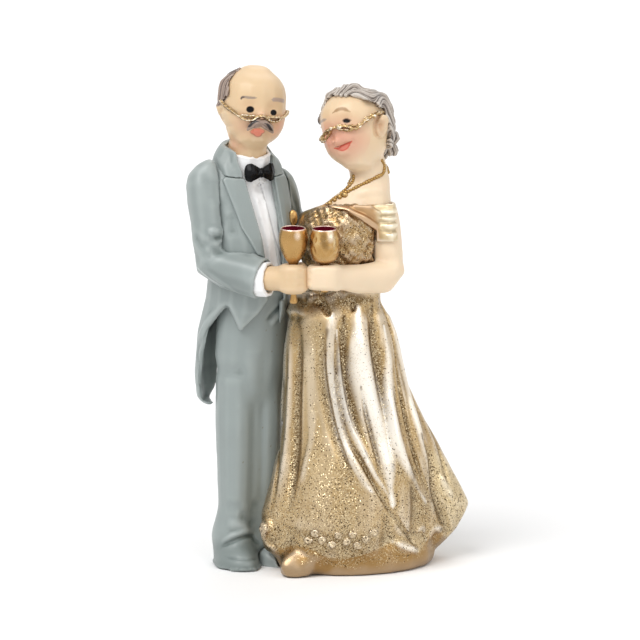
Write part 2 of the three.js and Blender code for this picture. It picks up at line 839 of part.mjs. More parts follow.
const groomFace = (grow = 0) =>
  moved(faceForm(groomHead, GROOM_HEAD_SHARES, groomNose, groomEar, grow), groomHeadFrame);
const brideFace = (grow = 0) =>
  moved(faceForm(brideHead, BRIDE_HEAD_SHARES, brideNose, brideEar, grow), brideHeadFrame);

/** Where hair grows: above the ears behind a hairline that leans over the crown, and down to the nape. */
function hairRegion(hair, ear) {
  const far = new THREE.Vector3(OVERRUN, OVERRUN, OVERRUN);
  const crown = block(new THREE.Vector3(-OVERRUN, -hair.lineForward, -OVERRUN), far);
  const line = frameOf(0, 0, 0, hair.lineTurn, 0, hair.lineLean);
  const aboveEars = block(new THREE.Vector3(-OVERRUN, -OVERRUN, ear.halfHeight - ear.low), far);
  const nape = block(new THREE.Vector3(-OVERRUN, ear.back + ear.halfDepth, -hair.nape), far);
  return joined(moved(crown, line).intersect(aboveEars), nape);
}

/** Hair in ridges that run from the hairline over the crown. */
function hairForm(head, shares, hair, ear) {
  const strands = (share, angle) => hair.ridge * Math.cos(hair.ridges * angle + hair.swirl * share);
  const cap = skull(head, shares, hair.lift, strands, facets.hair);
  return cap.intersect(hairRegion(hair, ear));
}

/** Curls gathered at the nape. */
function bunForm(grow = 0) {
  const core = ellipsoid(0, bun.back, -bun.low, bun.radius, bun.radius, bun.radius, grow);
  const curls = [];
  for (let i = 0; i < bun.curls; i++) {
    const angle = (i / bun.curls) * 2 * Math.PI;
    const across = Math.cos(angle) * bun.radius;
    const high = Math.sin(angle) * bun.radius;
    const back = bun.back + bun.radius / 2;
    curls.push(ellipsoid(across, back, high - bun.low, bun.curl, bun.curl, bun.curl, grow, facets.finger));
  }
  return moved(joined(core, ...curls), brideHeadFrame);
}

// Where the glasses stand off the face, in shares of the head's half sizes and of their own
const GLASSES_FACE_SHARE = 0.97;
const RIM_TURN = 20;
const RIM_BACK_SHARE = 0.18;
const RIM_FLAT_SHARE = 0.55;
const RIM_CORNERS = 10;
const RIM_STEPS = 12;
const TEMPLE_STEPS = 3;
const BRIDGE_STEPS = 4;
const CHEEK_SHARES = [0.93, 0.52, 0.5];
const BRIDGE_OUT_SHARE = 0.75;
const BRIDGE_UP_SHARE = 0.6;

/** Half-moon reading glasses: two rims, a bridge over the nose and two temples back to the ears. */
function glassesForm(glasses, head, ear, nose, frame, grow = 0) {
  const { wire, lensHalfWidth, lensHalfHeight, apart, low } = glasses;
  const faceY = -head.halfDepth * GLASSES_FACE_SHARE - SEAT - wire;
  const rimPoint = (side, angle) => {
    const high = Math.min(Math.sin(angle), RIM_FLAT_SHARE) * lensHalfHeight;
    return new THREE.Vector3(lensHalfWidth * Math.cos(angle), 0, high)
      .applyAxisAngle(UP, side * THREE.MathUtils.degToRad(RIM_TURN))
      .add(new THREE.Vector3(side * apart, faceY + apart * RIM_BACK_SHARE, -low));
  };
  const pieces = [];
  for (const side of [-1, 1]) {
    const rim = [];
    for (let i = 0; i < RIM_CORNERS; i++) rim.push(rimPoint(side, (i / RIM_CORNERS) * 2 * Math.PI));
    pieces.push(wireAlong(new THREE.CatmullRomCurve3(rim, true), [wire + grow], RIM_STEPS, true));
    const hinge = rimPoint(side, side > 0 ? 0 : Math.PI);
    const nearEar = new THREE.Vector3(
      side * (head.halfWidth + SEAT + wire),
      ear.back - ear.halfDepth,
      ear.halfHeight / 2 - ear.low,
    );
    const cheek = new THREE.Vector3(
      side * head.halfWidth * CHEEK_SHARES[0],
      -head.halfDepth * CHEEK_SHARES[1],
      -low * CHEEK_SHARES[2],
    );
    const temple = new THREE.CatmullRomCurve3([hinge, cheek, nearEar]);
    pieces.push(wireAlong(temple, [wire + grow], TEMPLE_STEPS));
  }
  const over = new THREE.Vector3(
    0,
    -head.halfDepth - nose.halfDepth * BRIDGE_OUT_SHARE,
    -low + lensHalfHeight * BRIDGE_UP_SHARE,
  );
  const bridge = new THREE.CatmullRomCurve3([rimPoint(-1, 0), over, rimPoint(1, Math.PI)]);
  pieces.push(wireAlong(bridge, [wire + grow], BRIDGE_STEPS));
  return moved(joined(...pieces), frame);
}

const MOUSTACHE_FACE_SHARE = 0.99;
const MOUSTACHE_BEND_SHARES = [0.45, 0.2, 0.15];
const MOUSTACHE_THICK_SHARES = [1.1, 1.25, 1.15, 0.75, 0.3];

function moustacheForm() {
  const { halfSpan, droop, low, thick, reach } = moustache;
  const middle = new THREE.Vector3(0, -groomHead.halfDepth * MOUSTACHE_FACE_SHARE, -low);
  const [bendOut, bendForward, bendDown] = MOUSTACHE_BEND_SHARES;
  const half = (side) => {
    const tip = middle.clone().add(new THREE.Vector3(side * halfSpan, reach, -droop));
    const bend = middle
      .clone()
      .add(new THREE.Vector3(side * halfSpan * bendOut, -thick * bendForward, -droop * bendDown));
    return limb(middle, bend, tip, thick, MOUSTACHE_THICK_SHARES, { around: facets.finger });
  };
  return moved(joined(half(-1), half(1)), groomHeadFrame);
}

// Goblets and the wine in them

const BOWL_SHARES = [
  [0.3, 0.02],
  [0.62, 0.12],
  [0.88, 0.3],
  [1, 0.55],
  [0.98, 0.78],
];

const FOOT_CONE_SHARE = 1.6;

function gobletProfile(grow) {
  const bowlFoot = goblet.footThick + goblet.stemLength;
  const rimHeight = bowlFoot + goblet.bowlHeight;
  const outer = BOWL_SHARES.map(([out, up]) => [out * goblet.bowl, bowlFoot + up * goblet.bowlHeight]);
  const inner = BOWL_SHARES.map(([out, up]) => [
    Math.max(out * goblet.bowl - goblet.wall, goblet.stem / 2),
    bowlFoot + goblet.wall + up * (goblet.bowlHeight - goblet.wall),
  ]).reverse();
  const outside = [
    [0, 0],
    [goblet.foot, 0],
    [goblet.foot, goblet.footThick / 2],
    [goblet.stem, goblet.footThick * FOOT_CONE_SHARE],
    [goblet.stem, bowlFoot - goblet.stem / 2],
    ...outer,
    [goblet.rim, rimHeight],
  ];
  const inside = [
    [goblet.rim - goblet.wall, rimHeight],
    ...inner,
    [0, bowlFoot + goblet.wall],
  ];
  const filled = grow > 0;
  const profile = filled
    ? [...outside.map(([r, z]) => [r && r + grow, z]), [0, rimHeight]]
    : [...outside, ...inside];
  return profile.map(([r, z]) => new THREE.Vector2(r, z));
}

function revolved(profile, segments = facets.goblet) {
  const geometry = new THREE.LatheGeometry(profile, segments);
  geometry.rotateX(Math.PI / 2);
  return solidOf(geometry);
}

const gobletFrame = (place) => frameOf(place.x, place.y, place.foot, 0, -place.lean);
const gobletForm = (place, grow = 0) => moved(revolved(gobletProfile(grow)), gobletFrame(place));

function wineForm(place) {
  const bowlFoot = goblet.footThick + goblet.stemLength + goblet.wall;
  const surface = bowlFoot + goblet.bowlHeight - goblet.wall - goblet.fill;
  const side = BOWL_SHARES.map(([out, up]) => [
    Math.max(out * goblet.bowl - goblet.wall - SEAT, goblet.stem / 4),
    bowlFoot + up * (goblet.bowlHeight - goblet.wall) + SEAT,
  ]).filter(([, height]) => height < surface);
  const profile = [[0, bowlFoot + SEAT], ...side, [side.at(-1)[0], surface], [0, surface]];
  return moved(revolved(profile.map(([r, z]) => new THREE.Vector2(r, z))), gobletFrame(place));
}

// Arms and hands

const GROOVE_SHARE = 0.91;
const FIST_END_SHARE = 0.84;
const FIST_DOME_SHARES = [0.25, 0.25];
const WRIST_RADIUS_SHARES = [1.08, 1.02, 1];
const WRIST_DOME_SHARES = [1, 0.2];
const THUMB_RADIUS_SHARES = [1.1, 1.1, 0.9];

/** A fist round a goblet's stem: four fingers one above the other, a thumb and a wrist. */
function fistForm(place, towards, grow = 0) {
  const centre = new THREE.Vector3(place.x, place.y, hand.height);
  const away = towards.clone().sub(centre).setZ(0).normalize();
  const levels = 2 * hand.fingers;
  const stations = [];
  for (let i = 0; i <= levels; i++) {
    const inGroove = i % 2 ? 1 : GROOVE_SHARE;
    const size = hand.knuckle * (i % levels ? inGroove : FIST_END_SHARE);
    const level = hand.halfHeight * (i / hand.fingers - 1) * FIST_END_SHARE;
    stations.push({ at: centre.clone().add(new THREE.Vector3(0, 0, level)), wide: size, deep: size });
  }
  const fingers = lofted(stations, { front: away, grow, domes: FIST_DOME_SHARES, domeRings: 1 });
  const half = centre.clone().lerp(towards, 0.5);
  const wrist = limb(centre, half, towards, hand.wrist, WRIST_RADIUS_SHARES, {
    grow,
    domes: WRIST_DOME_SHARES,
    domeRings: 1,
  });
  const top = hand.height + hand.halfHeight - hand.thumb;
  const root = centre.clone().addScaledVector(away, hand.knuckle).setZ(top - hand.thumb);
  const tip = centre.clone().addScaledVector(away, -hand.knuckle / 2).setZ(top + hand.thumb / 2);
  tip.y += hand.knuckle / 2;
  const thumb = limb(root, root.clone().lerp(tip, 0.5), tip, hand.thumb, THUMB_RADIUS_SHARES, {
    grow,
    around: facets.finger,
    domeRings: 1,
  });
  return joined(fingers, wrist, thumb);
}

// A flat hand, in shares of its length, its half sizes and one finger's radius
const PALM_LENGTH_SHARE = 0.4;
const PALM_BACK_SHARE = 0.15;
const FINGER_PITCH_SHARE = 1.8;
const FINGER_SPREAD_SHARE = 0.9;
const FINGER_REACH_SHARES = [0.5, 0.575, 0.575, 0.55];
const FINGER_CURL_SHARES = [0.25, 0.6];
const FINGER_RADIUS_SHARES = [1.1, 1, 0.9];
const FLAT_HAND_WRIST_SHARE = 0.55;

/** A flat hand with its fingers side by side, laid on a back. */
function flatHandForm(place, grow = 0) {
  const { length, halfWidth, halfThick, finger, fingers } = backHand;
  const palmBack = -length * PALM_BACK_SHARE;
  const palm = ellipsoid(palmBack, 0, 0, length * PALM_LENGTH_SHARE, halfThick, halfWidth, grow);
  const all = [];
  for (let i = 0; i < fingers; i++) {
    const level = ((fingers - 1) / 2 - i) * finger * FINGER_PITCH_SHARE;
    const start = new THREE.Vector3(0, 0, level * FINGER_SPREAD_SHARE);
    const reach = length * FINGER_REACH_SHARES[i % FINGER_REACH_SHARES.length];
    const end = new THREE.Vector3(reach, -finger * FINGER_CURL_SHARES[1], level);
    const bend = start.clone().lerp(end, 0.5);
    bend.y += finger * FINGER_CURL_SHARES[0];
    const options = { grow, around: facets.bead, domeRings: 1 };
    all.push(limb(start, bend, end, finger, FINGER_RADIUS_SHARES, options));
  }
  return moved(joined(palm, ...all), frameOf(place.x, place.y, place.z, place.turn));
}

const towardsPoint = (from, to, reach) => from.clone().add(to.clone().sub(from).setLength(reach));
const flatHandWrist = (place) =>
  pointIn(frameOf(place.x, place.y, place.z, place.turn), {
    x: -backHand.length * FLAT_HAND_WRIST_SHARE,
    y: 0,
    z: 0,
  });

const groomShoulderR = pointIn(groomFrame, groomRightArm.shoulder);
const groomElbowR = pointIn(groomFrame, groomRightArm.elbow);
const groomFist = new THREE.Vector3(groomGoblet.x, groomGoblet.y, hand.height);
const groomWristR = towardsPoint(groomFist, groomElbowR, wristReach.groom);
groomWristR.z = hand.height - wristReach.drop;
const brideShoulderL = pointIn(brideFrame, brideLeftArm.shoulder);
const brideElbowL = pointIn(brideFrame, brideLeftArm.elbow);
const brideFist = new THREE.Vector3(brideGoblet.x, brideGoblet.y, hand.height);
const brideWristL = towardsPoint(brideFist, brideElbowL, wristReach.bride);
const groomShoulderL = pointIn(groomFrame, groomLeftArm.shoulder);
const groomElbowL = pointIn(groomFrame, groomLeftArm.elbow);
const groomBackWrist = flatHandWrist(groomBackHand);
const groomBackPalm = new THREE.Vector3(groomBackHand.x, groomBackHand.y, groomBackHand.z);
const brideShoulderR = pointIn(brideFrame, brideRightArm.shoulder);
const brideElbowR = pointIn(brideFrame, brideRightArm.elbow);
const brideBackWrist = flatHandWrist(brideBackHand);

const SLEEVE_RADIUS_SHARES = [1, 1.04, 0.98, 1, 1.02, 1.02, 1.06, 1.1];
const ARM_RADIUS_SHARES = [1.06, 1.08, 1.04, 1, 0.98, 0.94, 0.9, 0.86];
const BACK_ARM_RADIUS_SHARES = [1, 1.05, 1, 0.96, 0.92, 0.88];
const SLEEVE_DOME_SHARES = [0.9, 0];
const ARM_DOME_SHARES = [0.8, 0.1];

function groomRightSleeveForm(grow = 0) {
  const options = { grow, domes: SLEEVE_DOME_SHARES };
  const { radius } = groomRightArm;
  return limb(groomShoulderR, groomElbowR, groomWristR, radius, SLEEVE_RADIUS_SHARES, options);
}

function groomLeftSleeveForm(grow = 0) {
  const options = { grow, domes: SLEEVE_DOME_SHARES };
  const { radius } = groomLeftArm;
  return limb(groomShoulderL, groomElbowL, groomBackWrist, radius, BACK_ARM_RADIUS_SHARES, options);
}

function brideLeftArmForm(grow = 0) {
  const options = { grow, domes: ARM_DOME_SHARES };
  const { radius } = brideLeftArm;
  return limb(brideShoulderL, brideElbowL, brideWristL, radius, ARM_RADIUS_SHARES, options);
}

function brideRightArmForm(grow = 0) {
  const options = { grow, domes: ARM_DOME_SHARES };
  const { radius } = brideRightArm;
  return limb(brideShoulderR, brideElbowR, brideBackWrist, radius, BACK_ARM_RADIUS_SHARES, options);
}

const CUFF_DOME_SHARES = [0, 0.25];

/** A short linen cuff that stands out of the sleeve, round the wrist. */
function cuffForm(wristPoint, handPoint, grow = 0) {
  const along = handPoint.clone().sub(wristPoint).setZ(0).normalize();
  const start = wristPoint.clone().addScaledVector(along, -cuff.length / 2);
  const end = wristPoint.clone().addScaledVector(along, cuff.length / 2);
  const stations = [start, wristPoint, end].map((at) => ({
    at,
    wide: cuff.radius,
    deep: cuff.radius,
  }));
  return lofted(stations, { front: UP, grow, domes: CUFF_DOME_SHARES, domeRings: 1 });
}

// Bride's body and gown

const SHOULDER_SHARES = [
  [0, 0, -0.1, 0.78, 1.1],
  [0.24, 0.02, 0.02, 0.84, 1.14],
  [0.4, 0.14, 0.34, 0.97, 1.03],
  [0.5, 0.25, 0.52, 0.9, 0.92],
  [0.6, 0.34, 0.65, 0.71, 0.82],
  [0.7, 0.44, 0.76, 0.45, 0.69],
  [0.84, 0.37, 0.63, 0.44, 0.68],
  [1, 0.29, 0.47, 0.46, 0.71],
];
const BODICE_SHARES = [
  [0, -0.02, 0.05, 0.92, 0.94],
  [0.25, -0.02, 0, 0.95, 0.98],
  [0.5, -0.02, -0.06, 1, 1.02],
  [0.75, 0.02, -0.08, 1.02, 1.03],
  [0.9, 0.08, 0.05, 1.01, 0.95],
  [1, 0.16, 0.2, 0.97, 0.84],
];

function shouldersForm(grow = 0) {
  return moved(column(shoulders, SHOULDER_SHARES, { grow, around: facets.body }), brideFrame);
}

/** A bell of height one that falls away on both sides of its middle. */
const bell = (value, middle, halfWidth) => Math.exp(-(((value - middle) / halfWidth) ** 2));

const BUST_HEIGHT_SHARE = 0.72;
const BUST_SPREAD_SHARE = 0.22;
const BUST_ANGLES = [63, 117];
const BUST_HALF_ANGLE = 24;

/** The bodice, with the bust pushed out on both sides of the front. */
function bodiceForm(grow = 0) {
  const bust = (share, angle) => {
    const degrees = THREE.MathUtils.radToDeg(angle);
    const sides = BUST_ANGLES.map((middle) => bell(degrees, middle, BUST_HALF_ANGLE));
    return bodice.bust * bell(share, BUST_HEIGHT_SHARE, BUST_SPREAD_SHARE) * (sides[0] + sides[1]);
  };
  return moved(column(bodice, BODICE_SHARES, { grow, relief: bust, around: facets.body }), brideFrame);
}

const skirtTurn = THREE.MathUtils.degToRad(skirt.slew);
const skirtFront = new THREE.Vector3(Math.sin(skirtTurn), -Math.cos(skirtTurn), 0);
// Even steps up the skirt, which the folds and the train count on
const SKIRT_SHARES = [
  [0, 0.01, 0, 1.02, 1],
  [0.1, 0.01, 0, 1.04, 1.03],
  [0.2, 0.07, 0, 1, 1],
  [0.3, 0.1, 0, 0.96, 0.94],
  [0.4, 0.13, 0, 0.93, 0.86],
  [0.5, 0.07, 0, 0.855, 0.8],
  [0.6, 0.015, 0, 0.79, 0.76],
  [0.7, -0.01, -0.01, 0.735, 0.73],
  [0.8, -0.05, -0.02, 0.695, 0.71],
  [0.9, -0.075, -0.03, 0.625, 0.65],
  [1, -0.065, -0.03, 0.49, 0.56],
];
const VALLEY_SHARE = 0.55;
const FOLD_FADE_SHARE = 0.75;
const FOLD_UNEVEN_SHARE = 0.3;
const UNEVEN_FOLDS = 3;
const TRAIN_HALF_ANGLE = 24;
const TRAIN_RISE_SHARE = 0.62;

/** The skirt: broad round folds with narrow valleys, that fan out into a pointed train. */
function skirtForm(grow = 0) {
  const { hem, top, fold, folds, sweep, train, trainHeight } = skirt;
  const relief = (share, angle) => {
    const turned = angle + sweep * (1 - share) * Math.sin(angle);
    const wave = Math.abs(Math.sin((folds * turned) / 2)) - VALLEY_SHARE;
    const uneven = 1 - FOLD_UNEVEN_SHARE * Math.cos(UNEVEN_FOLDS * angle);
    const level = THREE.MathUtils.lerp(hem, top, share);
    const rise = bell(level, trainHeight, TRAIN_RISE_SHARE * trainHeight);
    const fromTrain = THREE.MathUtils.radToDeg(Math.atan2(Math.sin(angle), Math.cos(angle)));
    const reach = rise * bell(fromTrain, 0, TRAIN_HALF_ANGLE);
    return fold * (1 - FOLD_FADE_SHARE * share) * uneven * wave + train * reach;
  };
  const options = { grow, relief, front: skirtFront, around: facets.skirt };
  const solid = column({ ...skirt, foot: hem }, SKIRT_SHARES, options);
  return solid.translate([brideStand.x, brideStand.y, 0]);
}

const UNDERSKIRT_SHARES = [
  [0, 0, 0, 0.96, 0.96],
  [0.2, 0, 0, 1, 1],
  [0.6, 0, 0, 0.98, 0.98],
  [1, 0, 0, 0.9, 0.9],
];

function underskirtForm(grow = 0) {
  const options = { grow, front: skirtFront, around: facets.body };
  const solid = column({ ...underskirt, foot: 0 }, UNDERSKIRT_SHARES, options);
  return solid.translate([brideStand.x + underskirt.x, brideStand.y + underskirt.y, 0]);
}

function brideShoeForm(grow = 0) {
  const { x, y, halfLength, halfWidth, height, turn } = brideShoe;
  const body = ellipsoid(0, 0, 0, halfWidth, halfLength, height, grow, facets.limb);
  return moved(aboveFloor(body, grow), frameOf(x, y, 0, turn));
}

/** The off-the-shoulder band: narrow at the front, deep over each upper arm. */
function drapeForm() {
  const middle = shoulders.halfWidth * SHOULDER_SHARES[2][1];
  const outline = [
    [middle - drape.reach, drape.farTop],
    [middle - drape.span, drape.farTop],
    [middle, drape.top],
    [middle + drape.reach, drape.top],
    [middle + drape.reach, drape.arm],
    [middle + drape.span, drape.arm],
    [middle + drape.seam, drape.centre],
    [middle - drape.seam, drape.centre],
    [middle - drape.span, drape.arm],
    [middle - drape.reach, drape.arm],
  ];
  const cloth = joined(
    shouldersForm(SEAT + drape.lift),
    bodiceForm(SEAT + drape.lift),
    brideLeftArmForm(SEAT + drape.lift),
    brideRightArmForm(SEAT + drape.lift),
  );
  return cloth.intersect(moved(prism(outline, -OVERRUN, OVERRUN), brideFrame));
}

/** Points where rays towards the neck's axis, in a tilted plane, meet the skin. */
function necklacePath(skin) {
  const mesh = new THREE.Mesh(geometryOf(skin), new THREE.MeshBasicMaterial({ side: THREE.DoubleSide }));
  const middleLeft = shoulders.halfWidth * SHOULDER_SHARES[5][1];
  const middleBack = shoulders.halfDepth * SHOULDER_SHARES[5][2];
  const plane = brideFrame
    .clone()
    .multiply(frameOf(middleLeft, middleBack, necklace.height, 0, 0, necklace.tilt));
  const centre = new THREE.Vector3().applyMatrix4(plane);
  const ray = new THREE.Raycaster();
  const found = [];
  for (let i = 0; i < necklace.beads; i++) {
    const angle = (i / necklace.beads) * 2 * Math.PI;
    const start = new THREE.Vector3(
      necklace.reach * Math.sin(angle),
      -necklace.reach * Math.cos(angle),
      0,
    ).applyMatrix4(plane);
    ray.set(start, centre.clone().sub(start).normalize());
    const hit = ray.intersectObject(mesh)[0];
    if (hit) found.push(hit.point.clone().lerp(start, (SEAT + necklace.cord) / hit.distance));
  }
  return found;
}

function necklaceForm(skin, grow = 0) {
  const { cord, bead, beads, pendant } = necklace;
  const path = necklacePath(skin);
  const string = new THREE.CatmullRomCurve3(path, true);
  const row = wireAlong(string, [cord + grow, bead + grow], 2 * beads, true);
  return joined(row, ellipsoid(...path[0].toArray(), pendant, pendant, pendant, grow, facets.bead));
}

// Assembly: each casting is cut by the grown forms of what it seats on

const groups = {};
const topper = new THREE.Group();
const couple = new THREE.Group();
topper.add(couple);

function groupFor(name, parent, frame) {
  const group = new THREE.Group();
  const parentWorld = parent.userData.frame ?? new THREE.Matrix4();
  const local = parentWorld.clone().invert().multiply(frame);
  local.decompose(group.position, group.quaternion, group.scale);
  group.userData.frame = frame;
  parent.add(group);
  groups[name] = group;
  return group;
}
groupFor("groom", couple, groomFrame);
groupFor("bride", couple, brideFrame);
groupFor("groomHead", groups.groom, groomHeadFrame);
groupFor("brideHead", groups.bride, brideHeadFrame);
groupFor("groomGoblet", couple, gobletFrame(groomGoblet));
groupFor("brideGoblet", couple, gobletFrame(brideGoblet));

function place(groupName, name, solid, material) {
  const group = groups[groupName];
  const local = moved(cutBy(solid), group.userData.frame.clone().invert());
  const mesh = new THREE.Mesh(geometryOf(local), material);
  mesh.name = name;
  group.add(mesh);
}

const gobletTools = [gobletForm(groomGoblet, SEAT), gobletForm(brideGoblet, SEAT)];
const fistTools = [fistForm(groomGoblet, groomWristR, SEAT), fistForm(brideGoblet, brideWristL, SEAT)];
const groomCuffTool = cuffForm(groomWristR, groomFist, SEAT);
const groomBackCuffTool = cuffForm(groomBackWrist, groomBackPalm, SEAT);
const skirtTool = skirtForm(SEAT);
const trousersTool = trousersForm(SEAT);
const shirtTool = shirtForm(SEAT);
const coatTool = moved(coatForm(SEAT).subtract(belowWaist()), groomFrame);
const bodiceTool = bodiceForm(SEAT);
const shouldersTool = shouldersForm(SEAT);
const groomSleeveTools = [groomRightSleeveForm(SEAT), groomLeftSleeveForm(SEAT)];
const brideArmTools = [brideLeftArmForm(SEAT), brideRightArmForm(SEAT)];
const groomSpectacles = (grow = 0) =>
  glassesForm(groomGlasses, groomHead, groomEar, groomNose, groomHeadFrame, grow);
const brideSpectacles = (grow = 0) =>
  glassesForm(brideGlasses, brideHead, brideEar, brideNose, brideHeadFrame, grow);
const groomFaceTool = groomFace(SEAT);
const brideFaceTool = brideFace(SEAT);
const groomNeckTool = groomNeckForm(SEAT);
const groomHeadTool = joined(groomFaceTool, groomNeckTool);
const collarTool = neckStand(groomCollar.out + SEAT);
const groomFlatHand = flatHandForm(groomBackHand);
const groomFlatHandTool = flatHandForm(groomBackHand, SEAT);
const brideFlatHandTool = flatHandForm(brideBackHand, SEAT);

// Goblets, wine and the hands that hold them
place("groomGoblet", "groom_goblet", gobletForm(groomGoblet), paints.gold);
place("brideGoblet", "bride_goblet", cutBy(gobletForm(brideGoblet), gobletTools[0]), paints.gold);
place("groomGoblet", "groom_wine", wineForm(groomGoblet), paints.wine);
place("brideGoblet", "bride_wine", wineForm(brideGoblet), paints.wine);
const groomFistSolid = cutBy(fistForm(groomGoblet, groomWristR), ...gobletTools);
place("groom", "groom_right_hand", groomFistSolid, paints.skin);
const brideFistSolid = cutBy(fistForm(brideGoblet, brideWristL), ...gobletTools, fistTools[0], groomCuffTool);
place("bride", "bride_left_hand", brideFistSolid, paints.skin);

// Groom from the floor up
const shoeTools = [-1, 1].map((side) => shoeForm(side, SEAT));
const underskirtTool = underskirtForm(SEAT);
const brideShoeTool = brideShoeForm(SEAT);
const rightShoe = cutBy(shoeForm(-1), skirtTool, underskirtTool, brideShoeTool);
place("groom", "groom_right_shoe", rightShoe, paints.suit);
const leftShoe = cutBy(shoeForm(1), shoeTools[0], skirtTool, underskirtTool, brideShoeTool);
place("groom", "groom_left_shoe", leftShoe, paints.suit);
const trousersSolid = cutBy(trousersForm(), ...shoeTools, skirtTool, underskirtTool);
place("groom", "groom_trousers", trousersSolid, paints.suit);
const shirtSolid = cutBy(shirtForm(), trousersTool, groomNeckTool, ...fistTools);
place("groom", "groom_shirt", shirtSolid, paints.linen);
const coatCut = cutBy(
  coatBody(),
  shirtTool,
  trousersTool,
  skirtTool,
  collarTool,
  bodiceTool,
  ...fistTools,
  groomCuffTool,
);
place("groom", "groom_tailcoat", coatCut, paints.suit);
const shirtCollar = cutBy(shirtCollarForm(), groomHeadTool, shirtTool);
place("groom", "groom_shirt_collar", shirtCollar, paints.linen);
const placketSolid = cutBy(placketForm(), shirtTool, ...fistTools, ...gobletTools, collarTool);
place("groom", "groom_shirt_placket", placketSolid, paints.linen);
const coatCollarSolid = cutBy(coatCollarForm(), collarTool, coatTool, groomFaceTool, ...groomSleeveTools);
const coatCollarTool = coatCollarForm(SEAT);
const lapelTool = lapelForm(1, SEAT);
place("groom", "groom_coat_collar", coatCollarSolid, paints.suit);
const besideLapels = [
  coatCollarTool,
  ...groomSleeveTools,
  ...fistTools,
  ...gobletTools,
  groomCuffTool,
  bodiceTool,
];
place("groom", "groom_right_lapel", cutBy(lapelForm(-1), ...besideLapels), paints.suit);
place("groom", "groom_left_lapel", cutBy(lapelForm(1), ...besideLapels), paints.suit);
const placketTool = moved(coatForm(placket.lift - coat.wall + SEAT), groomFrame);
const bowTieSolid = cutBy(
  bowTieForm(),
  coatCollarTool,
  collarTool,
  shirtTool,
  groomFaceTool,
  placketTool,
);
place("groom", "groom_bow_tie", bowTieSolid, paints.black);
const pocketSquareSolid = cutBy(
  pocketSquareForm(),
  coatTool,
  lapelTool,
  groomSleeveTools[1],
  bodiceTool,
  ...gobletTools,
);
place("groom", "groom_pocket_square", pocketSquareSolid, paints.gold);
place("groom", "groom_back_button_right", cutBy(backButtonForm(-1), coatTool), paints.suit);
place("groom", "groom_back_button_left", cutBy(backButtonForm(1), coatTool), paints.suit);
const rightSleeve = cutBy(groomRightSleeveForm(), coatTool, groomCuffTool, fistTools[0]);
place("groom", "groom_right_sleeve", rightSleeve, paints.suit);
const leftSleeve = cutBy(
  groomLeftSleeveForm(),
  coatTool,
  groomBackCuffTool,
  groomFlatHandTool,
  bodiceTool,
  shouldersTool,
  brideArmTools[1],
);
place("groom", "groom_left_sleeve", leftSleeve, paints.suit);
place("groom", "groom_right_cuff", cutBy(cuffForm(groomWristR, groomFist), fistTools[0], coatTool), paints.linen);
const backCuff = cutBy(
  cuffForm(groomBackWrist, groomBackPalm),
  groomFlatHandTool,
  bodiceTool,
  shouldersTool,
);
place("groom", "groom_left_cuff", backCuff, paints.linen);
place("groom", "groom_left_hand", cutBy(groomFlatHand, bodiceTool, shouldersTool), paints.skin);

// Groom's head
const groomGlassesTool = groomSpectacles(SEAT);
const groomHeadSolid = cutBy(joined(groomFace(), groomNeckForm()), groomGlassesTool);
place("groomHead", "groom_head", groomHeadSolid, paints.skin);
const groomHairShape = moved(hairForm(groomHead, GROOM_HEAD_SHARES, groomHair, groomEar), groomHeadFrame);
const groomHairSolid = cutBy(groomHairShape, groomHeadTool, groomGlassesTool, coatCollarTool);
place("groomHead", "groom_hair", groomHairSolid, paints.hair);
place("groomHead", "groom_moustache", cutBy(moustacheForm(), groomFaceTool, groomGlassesTool), paints.hair);
place("groomHead", "groom_spectacles", groomSpectacles(), paints.gold);

// Bride from the floor up
place("bride", "bride_shoe", brideShoeForm(), paints.gold);
const underskirtSolid = cutBy(underskirtForm(), brideShoeTool);
place("bride", "gown_underskirt", underskirtSolid, paints.gold);
const skirtSolid = cutBy(skirtForm(), underskirtTool, brideShoeTool, ...fistTools, ...gobletTools, bodiceTool);
place("bride", "gown_skirt", skirtSolid, paints.glitter);
const bodiceSolid = cutBy(
  bodiceForm(),
  shouldersTool,
  ...fistTools,
  ...gobletTools,
  ...brideArmTools,
  groomFlatHandTool,
);
place("bride", "gown_bodice", bodiceSolid, paints.glitter);
place("bride", "bride_shoulders", cutBy(shouldersForm(), brideFaceTool), paints.skin);
const leftArm = cutBy(brideLeftArmForm(), shouldersTool, fistTools[1]);
place("bride", "bride_left_arm", leftArm, paints.skin);
const rightArm = cutBy(
  brideRightArmForm(),
  shouldersTool,
  coatTool,
  brideFlatHandTool,
  groomBackCuffTool,
  groomFlatHandTool,
);
place("bride", "bride_right_arm", rightArm, paints.skin);
place("bride", "bride_right_hand", cutBy(flatHandForm(brideBackHand), coatTool), paints.skin);
const neckline = joined(shouldersForm(), bodiceForm());
const drapeSolid = cutBy(
  drapeForm(),
  shouldersTool,
  bodiceTool,
  ...brideArmTools,
  coatTool,
  ...groomSleeveTools,
  ...gobletTools,
  groomBackCuffTool,
  necklaceForm(neckline, SEAT),
);
place("bride", "gown_shoulder_drape", drapeSolid, paints.gold);
const necklaceSolid = cutBy(necklaceForm(neckline), shouldersTool, bodiceTool, brideFaceTool);
place("bride", "bride_necklace", necklaceSolid, paints.gold);

// Bride's head
const brideGlassesTool = brideSpectacles(SEAT);
place("brideHead", "bride_head", cutBy(brideFace(), brideGlassesTool), paints.skin);
const brideHairShape = moved(hairForm(brideHead, BRIDE_HEAD_SHARES, brideHair, brideEar), brideHeadFrame);
const brideHairSolid = cutBy(brideHairShape, brideFaceTool, brideGlassesTool, shouldersTool, bunForm(SEAT));
place("brideHead", "bride_hair", brideHairSolid, paints.hair);
place("brideHead", "bride_hair_bun", cutBy(bunForm(), brideFaceTool, shouldersTool), paints.hair);
place("brideHead", "bride_spectacles", brideSpectacles(), paints.gold);

// The origin is under the middle of the whole topper, on the floor
couple.updateMatrixWorld(true);
const bounds = new THREE.Box3().setFromObject(couple, true);
const centre = bounds.getCenter(new THREE.Vector3());
couple.position.set(-centre.x, -centre.y, -bounds.min.z);

